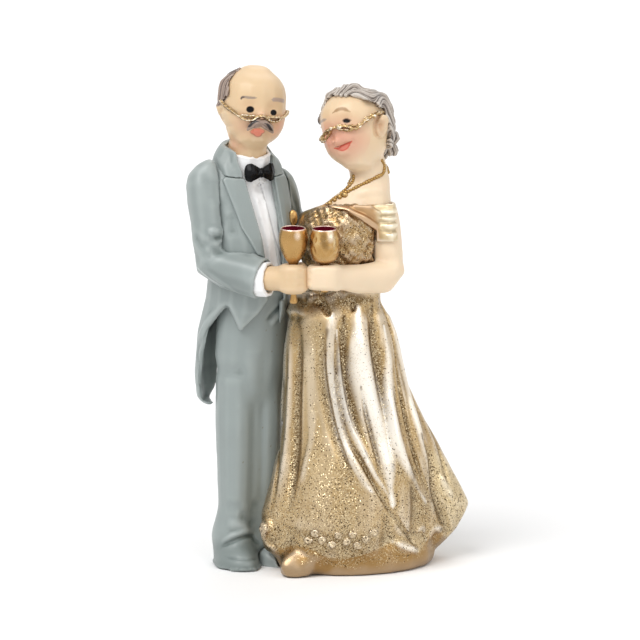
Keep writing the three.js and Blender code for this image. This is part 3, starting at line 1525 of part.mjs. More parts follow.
export default topper;
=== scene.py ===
"""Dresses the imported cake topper: models its pieces, paints them and sets them on a lit table top."""

import json
import math

import bpy
import numpy as np
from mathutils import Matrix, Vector

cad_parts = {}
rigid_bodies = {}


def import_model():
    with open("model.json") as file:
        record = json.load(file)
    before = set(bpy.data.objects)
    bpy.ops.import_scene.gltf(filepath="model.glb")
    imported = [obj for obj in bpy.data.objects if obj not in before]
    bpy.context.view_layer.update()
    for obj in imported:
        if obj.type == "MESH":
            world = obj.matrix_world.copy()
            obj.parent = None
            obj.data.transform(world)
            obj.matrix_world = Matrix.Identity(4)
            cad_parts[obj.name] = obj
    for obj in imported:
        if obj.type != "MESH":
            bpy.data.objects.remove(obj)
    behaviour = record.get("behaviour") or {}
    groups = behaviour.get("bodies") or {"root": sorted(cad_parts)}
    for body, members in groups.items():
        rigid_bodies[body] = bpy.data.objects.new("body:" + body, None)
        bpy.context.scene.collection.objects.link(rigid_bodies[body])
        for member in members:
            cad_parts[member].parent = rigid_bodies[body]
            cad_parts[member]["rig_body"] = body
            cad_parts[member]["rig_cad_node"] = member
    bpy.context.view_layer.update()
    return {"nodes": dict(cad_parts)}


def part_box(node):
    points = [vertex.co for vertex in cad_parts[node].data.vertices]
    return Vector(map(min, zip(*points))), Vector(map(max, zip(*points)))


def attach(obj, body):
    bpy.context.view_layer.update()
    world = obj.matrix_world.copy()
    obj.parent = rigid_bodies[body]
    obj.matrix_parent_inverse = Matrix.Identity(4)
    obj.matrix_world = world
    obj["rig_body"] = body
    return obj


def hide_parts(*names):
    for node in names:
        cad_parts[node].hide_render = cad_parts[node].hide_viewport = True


bl_info = {
    "name": "Anniversary cake topper",
    "version": (1, 0, 0),
    "blender": (4, 5, 0),
    "location": "View3D > Sidebar > Topper",
    "description": "Models and paints the couple of a resin cake topper",
    "category": "Object",
}

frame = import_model()

MM = 0.001
# The camera that the photograph was matched with, in millimetres and degrees
PICTURE = 640
PIXELS_PER_MM = 4.62
CAMERA_DISTANCE = 700
CAMERA_RISE = 8
CAMERA_TARGET = (-2.047, -0.888, 54.0)
SENSOR_WIDTH = 36
# How far up the picture a millimetre of height goes
PIXELS_PER_MM_UP = 4.574
# Points of a mesh nearer than this are one point
SAME_POINT = 0.01 * MM


def tone(code):
    """The linear colour of a six-figure screen colour."""
    parts = [int(code[i : i + 2], 16) / 255 for i in (0, 2, 4)]
    return tuple(p / 12.92 if p <= 0.04045 else ((p + 0.055) / 1.055) ** 2.4 for p in parts)


def colour_property(name, description, code):
    return bpy.props.FloatVectorProperty(
        name=name, description=description, subtype="COLOR", size=3, min=0, max=1, default=tone(code)
    )


def length_property(name, description, millimetres):
    return bpy.props.FloatProperty(
        name=name, description=description, subtype="DISTANCE", unit="LENGTH", min=0, default=millimetres * MM
    )


class TopperColours(bpy.types.PropertyGroup):
    suit: colour_property("Suit", "Pale grey-green paint of the suit", "8D9694")
    # Painted shade in the suit's creases
    suit_painted_shade: colour_property("Suit painted shade", "Painted shade in the suit's creases", "57625F")
    linen: colour_property("Linen", "White paint of shirt, collar and cuffs", "FAFAFA")
    # Painted shade in the linen's creases
    linen_painted_shade: colour_property("Linen painted shade", "Grey painted shade in the linen's creases", "A9A3A6")
    groom_skin: colour_property("Groom's skin", "Cream paint of his head and hands", "DBBE97")
    bride_skin: colour_property("Bride's skin", "Paler cream of her face, arms and hands", "EAD3B4")
    # Painted shade in the skin's creases and hollows
    skin_painted_shade: colour_property("Skin painted shade", "Tan painted shade in the skin's creases", "B98A66")
    blush: colour_property("Blush", "Rose on cheeks and noses", "DE9480")
    groom_mouth: colour_property("Groom's mouth", "Salmon paint of the open mouth", "F79A80")
    bride_mouth: colour_property("Bride's mouth", "Coral paint of the lips", "D35C49")
    hair: colour_property("Hair", "Silver-grey paint of the hair", "988B80")
    # Painted shade between the locks of her hair
    hair_painted_shade: colour_property("Hair painted shade", "Dark grey between the locks", "382F2A")
    groom_hair: colour_property("Groom's hair", "Brown-grey paint of his hair and moustache", "947E70")
    # Painted shade between the strands of his hair and moustache
    groom_hair_painted_shade: colour_property("Groom's hair painted shade", "Dark brown between its strands", "3E2E28")
    black: colour_property("Black gloss", "Bow tie and eyes", "0A0A0C")
    gold: colour_property("Gold", "Gold leaf of the gown", "B3976B")
    # Painted highlight of the gold on its ridges
    gold_painted_highlight: colour_property("Painted gold highlight", "Painted highlight of the gold on its ridges", "FBF5EA")
    # Painted shade of the gold in its hollows
    gold_painted_shade: colour_property("Painted gold shade", "Gold in the hollows", "523A1B")
    goblet: colour_property("Goblet gold", "Warmer gold of the goblets", "B68F58")
    wine: colour_property("Wine", "Dark red wine", "4A0A18")


class TopperSizes(bpy.types.PropertyGroup):
    cloth_voxel: length_property("Cloth voxel", "Cell size of the remeshed cloth pieces", 0.3)
    skin_voxel: length_property("Skin voxel", "Cell size of the remeshed faces and hands", 0.15)
    trim_voxel: length_property("Trim voxel", "Cell size of the remeshed small pieces", 0.1)
    closing: length_property("Closing", "How far a piece grows to close its glue gap", 0.12)
    glitter: length_property("Glitter", "Size of a flake of glitter", 0.15)


def colours():
    return bpy.context.scene.topper_colours


def sizes():
    return bpy.context.scene.topper_sizes


# Choosing and finishing pieces


def choose(*pieces):
    """Selects these pieces alone and makes the first one active."""
    if bpy.context.object and bpy.context.object.mode != "OBJECT":
        bpy.ops.object.mode_set(mode="OBJECT")
    bpy.ops.object.select_all(action="DESELECT")
    for piece in pieces:
        piece.hide_viewport = False
        piece.select_set(True)
    bpy.context.view_layer.objects.active = pieces[0]


def open_edit(piece):
    choose(piece)
    bpy.ops.object.mode_set(mode="EDIT")
    bpy.ops.mesh.select_all(action="SELECT")


def close_edit():
    bpy.ops.object.mode_set(mode="OBJECT")


def stretch(piece, value, centre, move=None):
    """Resizes a piece's mesh about a centre, then moves it."""
    open_edit(piece)
    bpy.ops.transform.resize(value=value, center_override=centre)
    if move:
        bpy.ops.transform.translate(value=move)
    close_edit()


def stretched_copy(node, value, centre):
    """A copy of a CAD casting, resized about a centre."""
    choose(frame["nodes"][node])
    bpy.ops.object.duplicate()
    copy = bpy.context.object
    bpy.ops.object.parent_clear(type="CLEAR_KEEP_TRANSFORM")
    stretch(copy, value, centre)
    return copy


def ball(radius, centre, segments, rings):
    """A sphere of so many millimetres, to be shaped or merged into a casting."""
    bpy.ops.object.select_all(action="DESELECT")
    bpy.ops.mesh.primitive_uv_sphere_add(
        segments=segments, ring_count=rings, radius=radius * MM, location=centre
    )
    return bpy.context.object


def apply_modifier(piece, kind, **settings):
    """Adds one modifier with these settings and applies it."""
    choose(piece)
    modifier = piece.modifiers.new(kind.lower(), kind)
    for name, value in settings.items():
        setattr(modifier, name, value)
    bpy.ops.object.modifier_apply(modifier=modifier.name)


def remesh(piece, voxel):
    apply_modifier(piece, "REMESH", mode="VOXEL", voxel_size=voxel, use_smooth_shade=True)


def even_out(piece, times):
    apply_modifier(piece, "SMOOTH", factor=0.5, iterations=times)


def cast(*nodes, voxel, round_off, grow=None, close=0.0, extra=(), name=None):
    """CAD castings, copied, merged, remeshed finely and rounded off by so many millimetres, as clay.

    Gaps up to twice the closing are filled, so that neighbours run into each other.
    """
    grow = sizes().closing if grow is None else grow
    close = close * MM
    choose(*[frame["nodes"][node] for node in nodes])
    bpy.ops.object.duplicate()
    for piece in extra:
        piece.select_set(True)
    if len(nodes) + len(extra) > 1:
        bpy.ops.object.join()
    piece = bpy.context.object
    bpy.ops.object.parent_clear(type="CLEAR_KEEP_TRANSFORM")
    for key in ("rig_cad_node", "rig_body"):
        del piece[key]
    piece.name = piece.data.name = name or nodes[0] + "_cast"
    piece.data.materials.clear()
    open_edit(piece)
    bpy.ops.mesh.remove_doubles(threshold=SAME_POINT)
    close_edit()
    if grow + close:
        apply_modifier(piece, "DISPLACE", strength=grow + close, mid_level=0)
    remesh(piece, voxel)
    if close:
        even_out(piece, 6)
        apply_modifier(piece, "DISPLACE", strength=-close, mid_level=0)
        remesh(piece, voxel)
    if round_off:
        even_out(piece, math.ceil((2 * round_off * MM / voxel) ** 2))
    bpy.ops.object.shade_smooth()
    return Clay(piece, nodes)


def place(piece, nodes, material, slot):
    """Puts a finished piece on the topper in place of these CAD nodes."""
    piece.data.materials.clear()
    piece.data.materials.append(material)
    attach(piece, "root")
    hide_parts(*nodes)


# Paths over a surface


def through(places, steps=8):
    """A smooth run of points through these places."""
    stops = [np.array(p, float) for p in places]
    stops = [2 * stops[0] - stops[1], *stops, 2 * stops[-1] - stops[-2]]
    run = []
    for a, b, c, d in zip(stops, stops[1:], stops[2:], stops[3:]):
        for i in range(steps):
            t = i / steps
            square, cube = 2 * a - 5 * b + 4 * c - d, 3 * b - a - 3 * c + d
            run.append(0.5 * (2 * b + (c - a) * t + square * t**2 + cube * t**3))
    run.append(stops[-2])
    return run


def camera_axes():
    """The directions that are backwards and upwards for the camera."""
    rise = math.radians(CAMERA_RISE)
    return Vector((0, -math.cos(rise), math.sin(rise))), Vector((0, math.sin(rise), math.cos(rise)))


def sight(across, down):
    """The start and direction of the camera's ray through a point of the picture."""
    back, up = camera_axes()
    start = (Vector(CAMERA_TARGET) + back * CAMERA_DISTANCE) * MM
    span = PIXELS_PER_MM * CAMERA_DISTANCE
    half = PICTURE / 2
    ray = Vector(((across - half) / span, 0, 0)) - up * ((down - half) / span) - back
    return start, ray.normalized()


def seen(piece, places, steps=8):
    """Points on a piece under a line drawn on the picture."""
    hits = []
    for across, down in through(places, steps) if len(places) > 1 else places:
        start, ray = sight(across, down)
        found, point, _, _ = piece.ray_cast(start, ray)
        if not found:
            guess = start + ray * ((piece.data.vertices[0].co - start).dot(ray))
            _, point, _, _ = piece.closest_point_on_mesh(guess)
        hits.append(np.array(point))
    return hits


def from_side(piece, azimuth, places):
    """Points on a piece under a line drawn as seen level from an azimuth, as millimetres across and up."""
    turn = math.radians(azimuth)
    back = Vector((math.sin(turn), -math.cos(turn), 0))
    right = Vector((math.cos(turn), math.sin(turn), 0))
    hits = []
    for across, height in through(places):
        start = (right * across + Vector((0, 0, height)) + back * 100) * MM
        found, point, _, _ = piece.ray_cast(start, -back)
        if found:
            hits.append(np.array(point))
    return hits


def on_picture(points):
    """Where these points fall on the picture."""
    rise = math.radians(CAMERA_RISE)
    back = np.array((0, -math.cos(rise), math.sin(rise)))
    up = np.array((0, math.sin(rise), math.cos(rise)))
    gap = points / MM - (np.array(CAMERA_TARGET) + back * CAMERA_DISTANCE)
    scale = PIXELS_PER_MM * CAMERA_DISTANCE / -(gap @ back)
    return PICTURE / 2 + gap[:, 0] * scale, PICTURE / 2 - gap @ up * scale


def lathe(name, centre, profile):
    """A turned solid: the profile's radii and heights in millimetres, spun about an upright axis."""
    mesh = bpy.data.meshes.new(name)
    piece = bpy.data.objects.new(name, mesh)
    bpy.context.collection.objects.link(piece)
    places = [(centre[0] + radius * MM, centre[1], height * MM) for radius, height in profile]
    mesh.from_pydata(places, [(i, i + 1) for i in range(len(places) - 1)], [])
    open_edit(piece)
    bpy.ops.mesh.spin(steps=64, angle=math.tau, center=(*centre, 0), axis=(0, 0, 1))
    bpy.ops.mesh.select_all(action="SELECT")
    bpy.ops.mesh.remove_doubles(threshold=SAME_POINT)
    bpy.ops.mesh.normals_make_consistent(inside=False)
    close_edit()
    apply_modifier(piece, "SUBSURF", levels=2, render_levels=2)
    bpy.ops.object.shade_smooth()
    return piece


def evenly(path, gap):
    """Points along a path, this many millimetres apart."""
    path = np.array(path)
    starts = np.concatenate([[0], np.cumsum(np.linalg.norm(np.diff(path, axis=0), axis=1))])
    stops = np.arange(0, starts[-1], gap * MM)
    return [np.array([np.interp(stop, starts, path[:, k]) for k in range(3)]) for stop in stops]


def beads(name, places, radius):
    """Beads strung along a run of points: one is modelled and the rest are its copies."""
    first = ball(radius, places[0], 12, 8)
    string = [first]
    for k, centre in enumerate(places[1:]):
        choose(first)
        bpy.ops.object.duplicate()
        bead = bpy.context.object
        bead.location = centre
        bead.scale = [0.85 + 0.3 * abs(math.sin(2.4 * k))] * 3
        string.append(bead)
    choose(*string)
    bpy.ops.object.join()
    bpy.ops.object.transform_apply(location=True, rotation=True, scale=True)
    piece = bpy.context.object
    piece.name = piece.data.name = name
    bpy.ops.object.shade_smooth()
    return piece


def each(act, *rows):
    """Does one act with every row of values."""
    for row in rows:
        act(*row)


class Clay:
    """A piece's points, held open so that strokes can be pressed into it and painted on it.

    Where a place is asked for, it is a place on the picture, for the point of the piece that shows there, or
    a point in space. Sizes and moves are in millimetres, and colours are codes or linear colours.
    """

    def __init__(self, piece, nodes):
        self.piece = piece
        self.nodes = nodes
        self.read_points()

    def read_points(self):
        mesh = self.piece.data
        count = len(mesh.vertices)
        self.points = np.empty(count * 3)
        mesh.vertices.foreach_get("co", self.points)
        self.points = self.points.reshape(-1, 3)
        self.edges = np.empty(len(mesh.edges) * 2, int)
        mesh.edges.foreach_get("vertices", self.edges)
        self.edges = self.edges.reshape(-1, 2)
        self.ties = np.bincount(self.edges.ravel(), minlength=count).clip(1)
        self.paint = np.zeros((count, 4))
        self.gloss = np.zeros(count)
        self.read_normals()

    def read_normals(self):
        normals = np.empty(len(self.points) * 3, np.float32)
        self.piece.data.vertex_normals.foreach_get("vector", normals)
        self.normals = normals.reshape(-1, 3).astype(float)

    def write_points(self):
        self.piece.data.vertices.foreach_set("co", self.points.ravel())
        self.piece.data.update()
        self.read_normals()

    def here(self, places, steps=8):
        """The points in space for these places."""
        return seen(self.piece, places, steps) if len(places) and len(places[0]) == 2 else places

    def averaged(self, values, times):
        """These values, each evened out with its neighbours' a number of times."""
        one, two = self.edges.T
        count = len(self.ties)
        values = values.reshape(count, -1).copy()
        for _ in range(times):
            for k in range(values.shape[1]):
                column = values[:, k]
                total = np.bincount(one, column[two], count) + np.bincount(two, column[one], count)
                values[:, k] = 0.5 * column + 0.5 * total / self.ties
        return values

    def near(self, path, reach):
        """The points within reach of a path, with their distance to it and how far along it they are."""
        path = np.array(path)
        low, high = path.min(0) - reach, path.max(0) + reach
        chosen = np.flatnonzero(((self.points > low) & (self.points < high)).all(1))
        points = self.points[chosen]
        distance = np.full(len(points), 1e9)
        along = np.zeros(len(points))
        if len(path) == 1:
            distance = np.linalg.norm(points - path[0], axis=1)
            keep = distance < reach
            return chosen[keep], distance[keep], along[keep] + 0.5
        steps = np.linalg.norm(np.diff(path, axis=0), axis=1)
        starts = np.concatenate([[0], np.cumsum(steps)])
        for k in range(len(steps)):
            leg = path[k + 1] - path[k]
            part = np.clip((points - path[k]) @ leg / max(leg @ leg, 1e-18), 0, 1)
            gap = np.linalg.norm(points - (path[k] + part[:, None] * leg), axis=1)
            closer = gap < distance
            distance[closer] = gap[closer]
            along[closer] = (starts[k] + part[closer] * steps[k]) / starts[-1]
        keep = distance < reach
        return chosen[keep], distance[keep], along[keep]

    def stroke(self, path, width, depth, ends=0.25):
        """Presses a groove along a path, or raises a ridge where the depth is negative."""
        path = self.here(path)
        if len(path) < 2:
            return
        width, depth = width * MM, depth * MM
        chosen, distance, along = self.near(path, width)
        profile = 0.5 + 0.5 * np.cos(np.pi * distance / width)
        fade = np.clip(np.minimum(along, 1 - along) / ends, 0, 1)
        self.points[chosen] -= self.normals[chosen] * (depth * profile * fade)[:, None]

    def pull(self, centre, radius, move):
        """Moves the points round a place, less and less towards the radius."""
        chosen, distance, _ = self.near(self.here([centre]), radius * MM)
        weight = 0.5 + 0.5 * np.cos(np.pi * distance / (radius * MM))
        self.points[chosen] += weight[:, None] * np.array(move) * MM

    def swell(self, centre, radius, height):
        """Raises a round bump, or a dent where the height is negative."""
        chosen, distance, _ = self.near(self.here([centre]), radius * MM)
        profile = 0.5 + 0.5 * np.cos(np.pi * distance / (radius * MM))
        self.points[chosen] += self.normals[chosen] * (height * MM * profile)[:, None]

    def grow(self, height):
        """Moves every point outwards."""
        self.points += self.normals * (height * MM * np.ones(len(self.points)))[:, None]

    def within(self, outline, soft=2.0):
        """How far each point lies inside an outline of the picture: 0 outside, 1 inside, soft in between."""
        across, down = on_picture(self.points)
        inside = np.zeros(len(across), bool)
        gap = np.full(len(across), 1e9)
        for (ax, ay), (bx, by) in zip(outline, [*outline[1:], outline[0]]):
            rise = by - ay or 1e-9
            inside ^= ((ay > down) != (by > down)) & (across < (bx - ax) * (down - ay) / rise + ax)
            leg = (bx - ax) ** 2 + (by - ay) ** 2
            part = np.clip(((across - ax) * (bx - ax) + (down - ay) * (by - ay)) / leg, 0, 1)
            aside, below = across - ax - part * (bx - ax), down - ay - part * (by - ay)
            gap = np.minimum(gap, np.hypot(aside, below))
        part = np.clip(0.5 + np.where(inside, gap, -gap) / soft, 0, 1)
        return part * part * (3 - 2 * part)

    def shift(self, outline, move, soft=2.0, behind=None):
        """Moves what lies inside an outline of the picture, but nothing further back than a depth."""
        weight = self.within(outline, soft)
        if behind is not None:
            weight = weight * np.clip((behind * MM - self.points[:, 1]) / (2 * MM), 0, 1)
        self.points += weight[:, None] * np.array(move) * MM

    def lean(self, foot, degrees):
        """Leans everything towards the viewer about a level line, given by its depth and height."""
        turn = math.radians(degrees)
        depth, height = self.points[:, 1] - foot[0], self.points[:, 2] - foot[1]
        self.points[:, 1] = foot[0] + depth * math.cos(turn) - height * math.sin(turn)
        self.points[:, 2] = foot[1] + depth * math.sin(turn) + height * math.cos(turn)

    def comb(self, centre, pole, locks, wave, waves, twist=0.0):
        """Combs hair towards a pole: locks holds how many go round and how deep the grooves between are."""
        pole = np.array(Vector(pole).normalized())
        side = np.array(Vector((0, 0, 1)).cross(Vector(pole)).normalized())
        other = np.cross(pole, side)
        gap = self.points - np.array(centre)
        fall = np.arccos(np.clip(gap @ pole / np.linalg.norm(gap, axis=1), -1, 1))
        angle = np.arctan2(gap @ other, gap @ side)
        swing = wave * np.sin(waves * fall + 2 * np.sin(2 * angle))
        angle = angle + swing + twist * fall + 0.12 * np.sin(3 * angle + 1)
        offset = np.zeros(len(angle))
        for count, depth in locks:
            offset += depth * MM * (np.abs(np.cos(count * angle / 2)) - 0.6)
        self.points += self.normals * (offset * np.clip(3 * np.sin(fall), 0, 1))[:, None]

    def crinkle(self, size, depth, chosen=None, seed=0.0):
        """Small uneven lumps all over, as a brushful of thick paint leaves."""
        places = self.points / (size * MM)
        lumps = np.zeros(len(places))
        for k in range(6):
            way = [math.sin(seed + k * 2.1), math.cos(seed + k * 1.3), math.sin(seed + k * 3.7 + 1)]
            lumps += np.sin(places @ (np.array(way) * (2 + k * 0.7)) + k + seed)
        lumps *= depth * MM / 3
        if chosen is not None:
            lumps = lumps * chosen
        self.points += self.normals * lumps[:, None]

    def cover(self, chosen, amount, colour, gloss=0.0):
        """Lays colour over what is there."""
        amount = amount[:, None]
        colour = np.array([*(tone(colour) if isinstance(colour, str) else colour), 1.0])
        self.paint[chosen] = self.paint[chosen] * (1 - amount) + colour * amount
        self.gloss[chosen] = self.gloss[chosen] * (1 - amount[:, 0]) + gloss * amount[:, 0]

    def coat(self, amount, colour, gloss=0.0):
        """Covers the whole piece, by as much as the amount says at each point."""
        self.cover(slice(None), amount * np.ones(len(self.points)), colour, gloss)

    def brush(self, path, width, colour, strength=1.0, ends=0.15, soft=0.35, gloss=0.0):
        """Paints a line along a path, thinner towards its ends."""
        width = width * MM / 2
        chosen, distance, along = self.near(self.here(path), width * 1.5)
        taper = np.clip(np.minimum(along, 1 - along) / ends, 0.25, 1) if ends else 1
        amount = np.clip((1 - distance / (width * taper)) / soft + 0.5, 0, 1)
        self.cover(chosen, amount * strength, colour, gloss)

    def spot(self, centre, across, up, colour, strength=1.0, soft=0.2, gloss=0.0):
        """Paints an oval, given by its half sizes as seen from straight ahead of it."""
        centre = self.here([centre])[0]
        index = np.linalg.norm(self.points - centre, axis=1).argmin()
        normal = Vector(self.normals[index])
        side = Vector((0, 0, 1)).cross(normal).normalized()
        side, top = np.array(side), np.array(normal.cross(side))
        chosen, _, _ = self.near([centre], (max(across, up) * 1.6 + 0.4) * MM)
        gap = self.points[chosen] - centre
        reach = np.hypot(gap @ side / (across * MM), gap @ top / (up * MM))
        amount = np.clip((1 - reach) / soft + 0.5, 0, 1)
        self.cover(chosen, amount * strength, colour, gloss)

    def soften(self, times, weight=1.0):
        """Evens out the points, by as much as their weight says."""
        weight = weight * np.ones(len(self.points))
        self.points += (self.averaged(self.points, times) - self.points) * weight[:, None]

    def close(self, reach=24, scale=0.12):
        """Writes the points back, with how hollow or proud each one lies, its paint and its gloss."""
        self.write_points()
        sunk = ((self.averaged(self.points, reach) - self.points) * self.normals).sum(1)
        mesh = self.piece.data
        for name, kind, part, values in (
            ("hollow", "FLOAT", "value", (sunk / (scale * MM)).clip(-1, 1)),
            ("gloss", "FLOAT", "value", self.gloss),
            ("paint", "FLOAT_COLOR", "color", self.paint.ravel()),
        ):
            mesh.attributes.new(name, kind, "POINT").data.foreach_set(part, values)
        mesh.update()

    def finish(self, paint, reach=24, scale=0.12):
        """Closes the piece and puts it in its place; the paint is a material with its slot, and the slot is
        not used.
        """
        self.close(reach, scale)
        place(self.piece, self.nodes, *paint)


# Shader nodes


class Recipe:
    """Adds nodes to a material or a node group and links them."""

    def __init__(self, tree):
        self.tree = tree

    def add(self, kind, inputs=None, **settings):
        node = self.tree.nodes.new("ShaderNode" + kind)
        for name, value in settings.items():
            setattr(node, name, value)
        for name, value in (inputs or {}).items():
            self.feed(node, name, value)
        return node

    def feed(self, node, name, value):
        socket = node.inputs[name]
        if isinstance(value, bpy.types.NodeSocket):
            self.tree.links.new(value, socket)
        elif socket.type == "RGBA" and len(value) == 3:
            socket.default_value = (*value, 1)
        else:
            socket.default_value = value

    def where(self):
        return self.add("TexCoord").outputs["Object"]

    def sums(self, operation, *values, clamp=False):
        node = self.add("Math", operation=operation, use_clamp=clamp)
        for i, value in enumerate(values):
            self.feed(node, i, value)
        return node.outputs[0]

    def vector(self, operation, *values, scale=None):
        node = self.add("VectorMath", operation=operation)
        for i, value in enumerate(values):
            self.feed(node, i, value)
        if scale is not None:
            self.feed(node, "Scale", scale)
        return node.outputs[0]

    def between(self, value, low, high, to_low=0.0, to_high=1.0):
        ends = {"From Min": low, "From Max": high, "To Min": to_low, "To Max": to_high}
        return self.add("MapRange", {"Value": value, **ends}).outputs["Result"]

    def blend(self, amount, one, two, kind="MIX"):
        node = self.add("Mix", data_type="RGBA", blend_type=kind)
        for index, value in ((0, amount), (6, one), (7, two)):
            if isinstance(value, bpy.types.NodeSocket):
                self.tree.links.new(value, node.inputs[index])
            elif index and len(value) == 3:
                node.inputs[index].default_value = (*value, 1)
            else:
                node.inputs[index].default_value = value
        return node.outputs[2]

    def noise(self, size, detail=3.0):
        """Noise whose lumps are about this many millimetres across."""
        node = self.add("TexNoise", {"Vector": self.where(), "Scale": 1 / (size * MM), "Detail": detail})
        return node.outputs["Fac"]

    def grey(self, value):
        return self.add("CombineColor", {0: value, 1: value, 2: value}).outputs[0]

    def bump(self, strength, depth, height, **more):
        """The normal of a bump whose depth is in millimetres."""
        inputs = {"Strength": strength, "Distance": depth * MM, "Height": height, **more}
        return self.add("Bump", inputs).outputs[0]

    def attribute(self, name, output="Fac"):
        return self.add("Attribute", attribute_name=name, attribute_type="GEOMETRY").outputs[output]

    def group(self, tree, inputs):
        node = self.add("Group", node_tree=tree)
        for name, value in inputs.items():
            self.feed(node, name, value)
        return node.outputs


def new_group(name, inputs, outputs):
    """An empty shader group with named sockets; returns it with its recipe, inputs and output node."""
    tree = bpy.data.node_groups.new(name, "ShaderNodeTree")
    for label, kind, default in inputs:
        socket = tree.interface.new_socket(label, in_out="INPUT", socket_type="NodeSocket" + kind)
        if default is not None:
            socket.default_value = default
    for label, kind in outputs:
        tree.interface.new_socket(label, in_out="OUTPUT", socket_type="NodeSocket" + kind)
    recipe = Recipe(tree)
    inputs = recipe.tree.nodes.new("NodeGroupInput").outputs
    return tree, recipe, inputs, recipe.tree.nodes.new("NodeGroupOutput")


def brushed_paint_group():
    """Hand-brushed paint: mottled, painted shade in hollows, painted highlights on edges, the painter's
    strokes over it.
    """
    if "brushed_paint" in bpy.data.node_groups:
        return bpy.data.node_groups["brushed_paint"]
    tree, r, given, out = new_group(
        "brushed_paint",
        [
            ("Colour", "Color", None),
            ("Painted Shade Colour", "Color", None),
            ("Painted Highlight Colour", "Color", None),
            ("Painted Shade", "Float", 0.6),
            ("Painted Highlight", "Float", 0.3),
            ("Mottle", "Float", 0.1),
        ],
        [("Colour", "Color"), ("Gloss", "Float"), ("Height", "Float")],
    )
    hollow = r.attribute("hollow")
    cloud = r.noise(5, 4)
    fine = r.noise(0.7, 3)
    shade = r.sums("MULTIPLY", r.sums("SUBTRACT", cloud, 0.5), given["Mottle"])
    shaded = r.blend(1.0, given["Colour"], r.grey(r.sums("ADD", shade, 1.0)), "MULTIPLY")
    # Painted shade where the surface lies hollow, painted highlights where it stands proud
    uneven = r.sums("ADD", hollow, r.sums("MULTIPLY", r.sums("SUBTRACT", fine, 0.5), 0.3))
    sunk = r.sums("MULTIPLY", r.between(uneven, 0.08, 0.9), given["Painted Shade"])
    proud = r.sums("MULTIPLY", r.between(hollow, -0.15, -0.9), given["Painted Highlight"])
    painted_shaded = r.blend(sunk, shaded, given["Painted Shade Colour"])
    painted_highlighted = r.blend(proud, painted_shaded, given["Painted Highlight Colour"])
    coat = r.attribute("paint", "Alpha")
    bare = r.blend(coat, painted_highlighted, (0, 0, 0))
    final = r.blend(1.0, bare, r.attribute("paint", "Color"), "ADD")
    r.feed(out, "Colour", final)
    r.feed(out, "Gloss", r.attribute("gloss"))
    r.feed(out, "Height", r.sums("ADD", r.sums("MULTIPLY", fine, 0.35), r.noise(0.25, 2)))
    return tree


def glitter_group():
    """Loose glitter: flakes in random tones, each tilted its own way."""
    if "glitter_flakes" in bpy.data.node_groups:
        return bpy.data.node_groups["glitter_flakes"]
    tree, r, given, out = new_group(
        "glitter_flakes",
        [
            ("Amount", "Float", 0.5),
            ("Size", "Float", 0.3),
            ("Tilt", "Float", 0.8),
            ("Bright", "Color", None),
            ("Dark", "Color", None),
        ],
        [("Mask", "Float"), ("Colour", "Color"), ("Normal", "Vector")],
    )
    cells = r.add("TexVoronoi", {"Vector": r.where(), "Scale": r.sums("DIVIDE", 1000.0, given["Size"])})
    parts = r.add("SeparateColor", {0: cells.outputs["Color"]}).outputs
    mask = r.sums("LESS_THAN", parts[0], given["Amount"])
    colour = r.blend(r.sums("POWER", parts[1], 0.7), given["Dark"], given["Bright"])
    tilt = r.vector("SUBTRACT", cells.outputs["Color"], (0.5, 0.5, 0.5))
    tilt = r.vector("SCALE", tilt, scale=r.sums("MULTIPLY", mask, given["Tilt"]))
    normal = r.vector("NORMALIZE", r.vector("ADD", r.add("NewGeometry").outputs["Normal"], tilt))
    r.feed(out, "Mask", mask)
    r.feed(out, "Colour", colour)
    r.feed(out, "Normal", normal)
    return tree


finishes = {}


def material(name):
    """A new material with one Principled shader; returns it with its recipe and the shader."""
    made = bpy.data.materials.new(name)
    finishes[name] = made
    made.use_nodes = True
    recipe = Recipe(made.node_tree)
    return made, recipe, made.node_tree.nodes["Principled BSDF"]


def brushed(r, colour, shade_colour, edge, strength):
    """Brushed paint's outputs; strength says how strong the painted shade, the painted highlights and the
    mottle are.
    """
    names = ("Colour", "Painted Shade Colour", "Painted Highlight Colour", "Painted Shade", "Painted Highlight", "Mottle")
    return r.group(brushed_paint_group(), dict(zip(names, (colour, shade_colour, edge, *strength))))


def painted(name, colour, shade_colour, edge, strength, rough=0.42, bump=0.04, coat=0.0, soft=0.0, shine=0.5):
    """Brushed matt or satin paint on resin; edge is the colour of its painted highlights."""
    if name in finishes:
        return finishes[name]
    made, r, shader = material(name)
    paint = brushed(r, colour, shade_colour, tone(edge), strength)
    r.feed(shader, "Base Color", paint["Colour"])
    worn = r.sums("ADD", rough - 0.06, r.sums("MULTIPLY", r.noise(3), 0.12))
    r.feed(shader, "Roughness", r.sums("SUBTRACT", worn, r.sums("MULTIPLY", paint["Gloss"], rough - 0.2)))
    dulled = r.sums("SUBTRACT", shine, r.sums("MULTIPLY", paint["Gloss"], shine * 0.75))
    r.feed(shader, "Specular IOR Level", dulled)
    r.feed(shader, "Normal", r.bump(0.35, bump, paint["Height"]))
    shader.inputs["Coat Weight"].default_value = coat
    shader.inputs["Coat Roughness"].default_value = 0.25
    if soft:
        shader.inputs["Subsurface Weight"].default_value = soft
        shader.inputs["Subsurface Radius"].default_value = (1.0, 0.6, 0.4)
        shader.inputs["Subsurface Scale"].default_value = 0.9 * MM
    return made


# Each paint: base colour, painted shade colour for hollows, painted highlight colour for edges, and how
# strong they are
def suit_paint():
    c = colours()
    made = painted("suit_paint", c.suit, c.suit_painted_shade, "B9C1BF", (0.75, 0.35, 0.14), coat=0.12)
    return made, "suit_paint"


def linen_paint():
    c = colours()
    made = painted("linen_paint", c.linen, c.linen_painted_shade, "FFFFFF", (0.14, 0.3, 0.02), rough=0.45, coat=0.1)
    return made, "linen_paint"


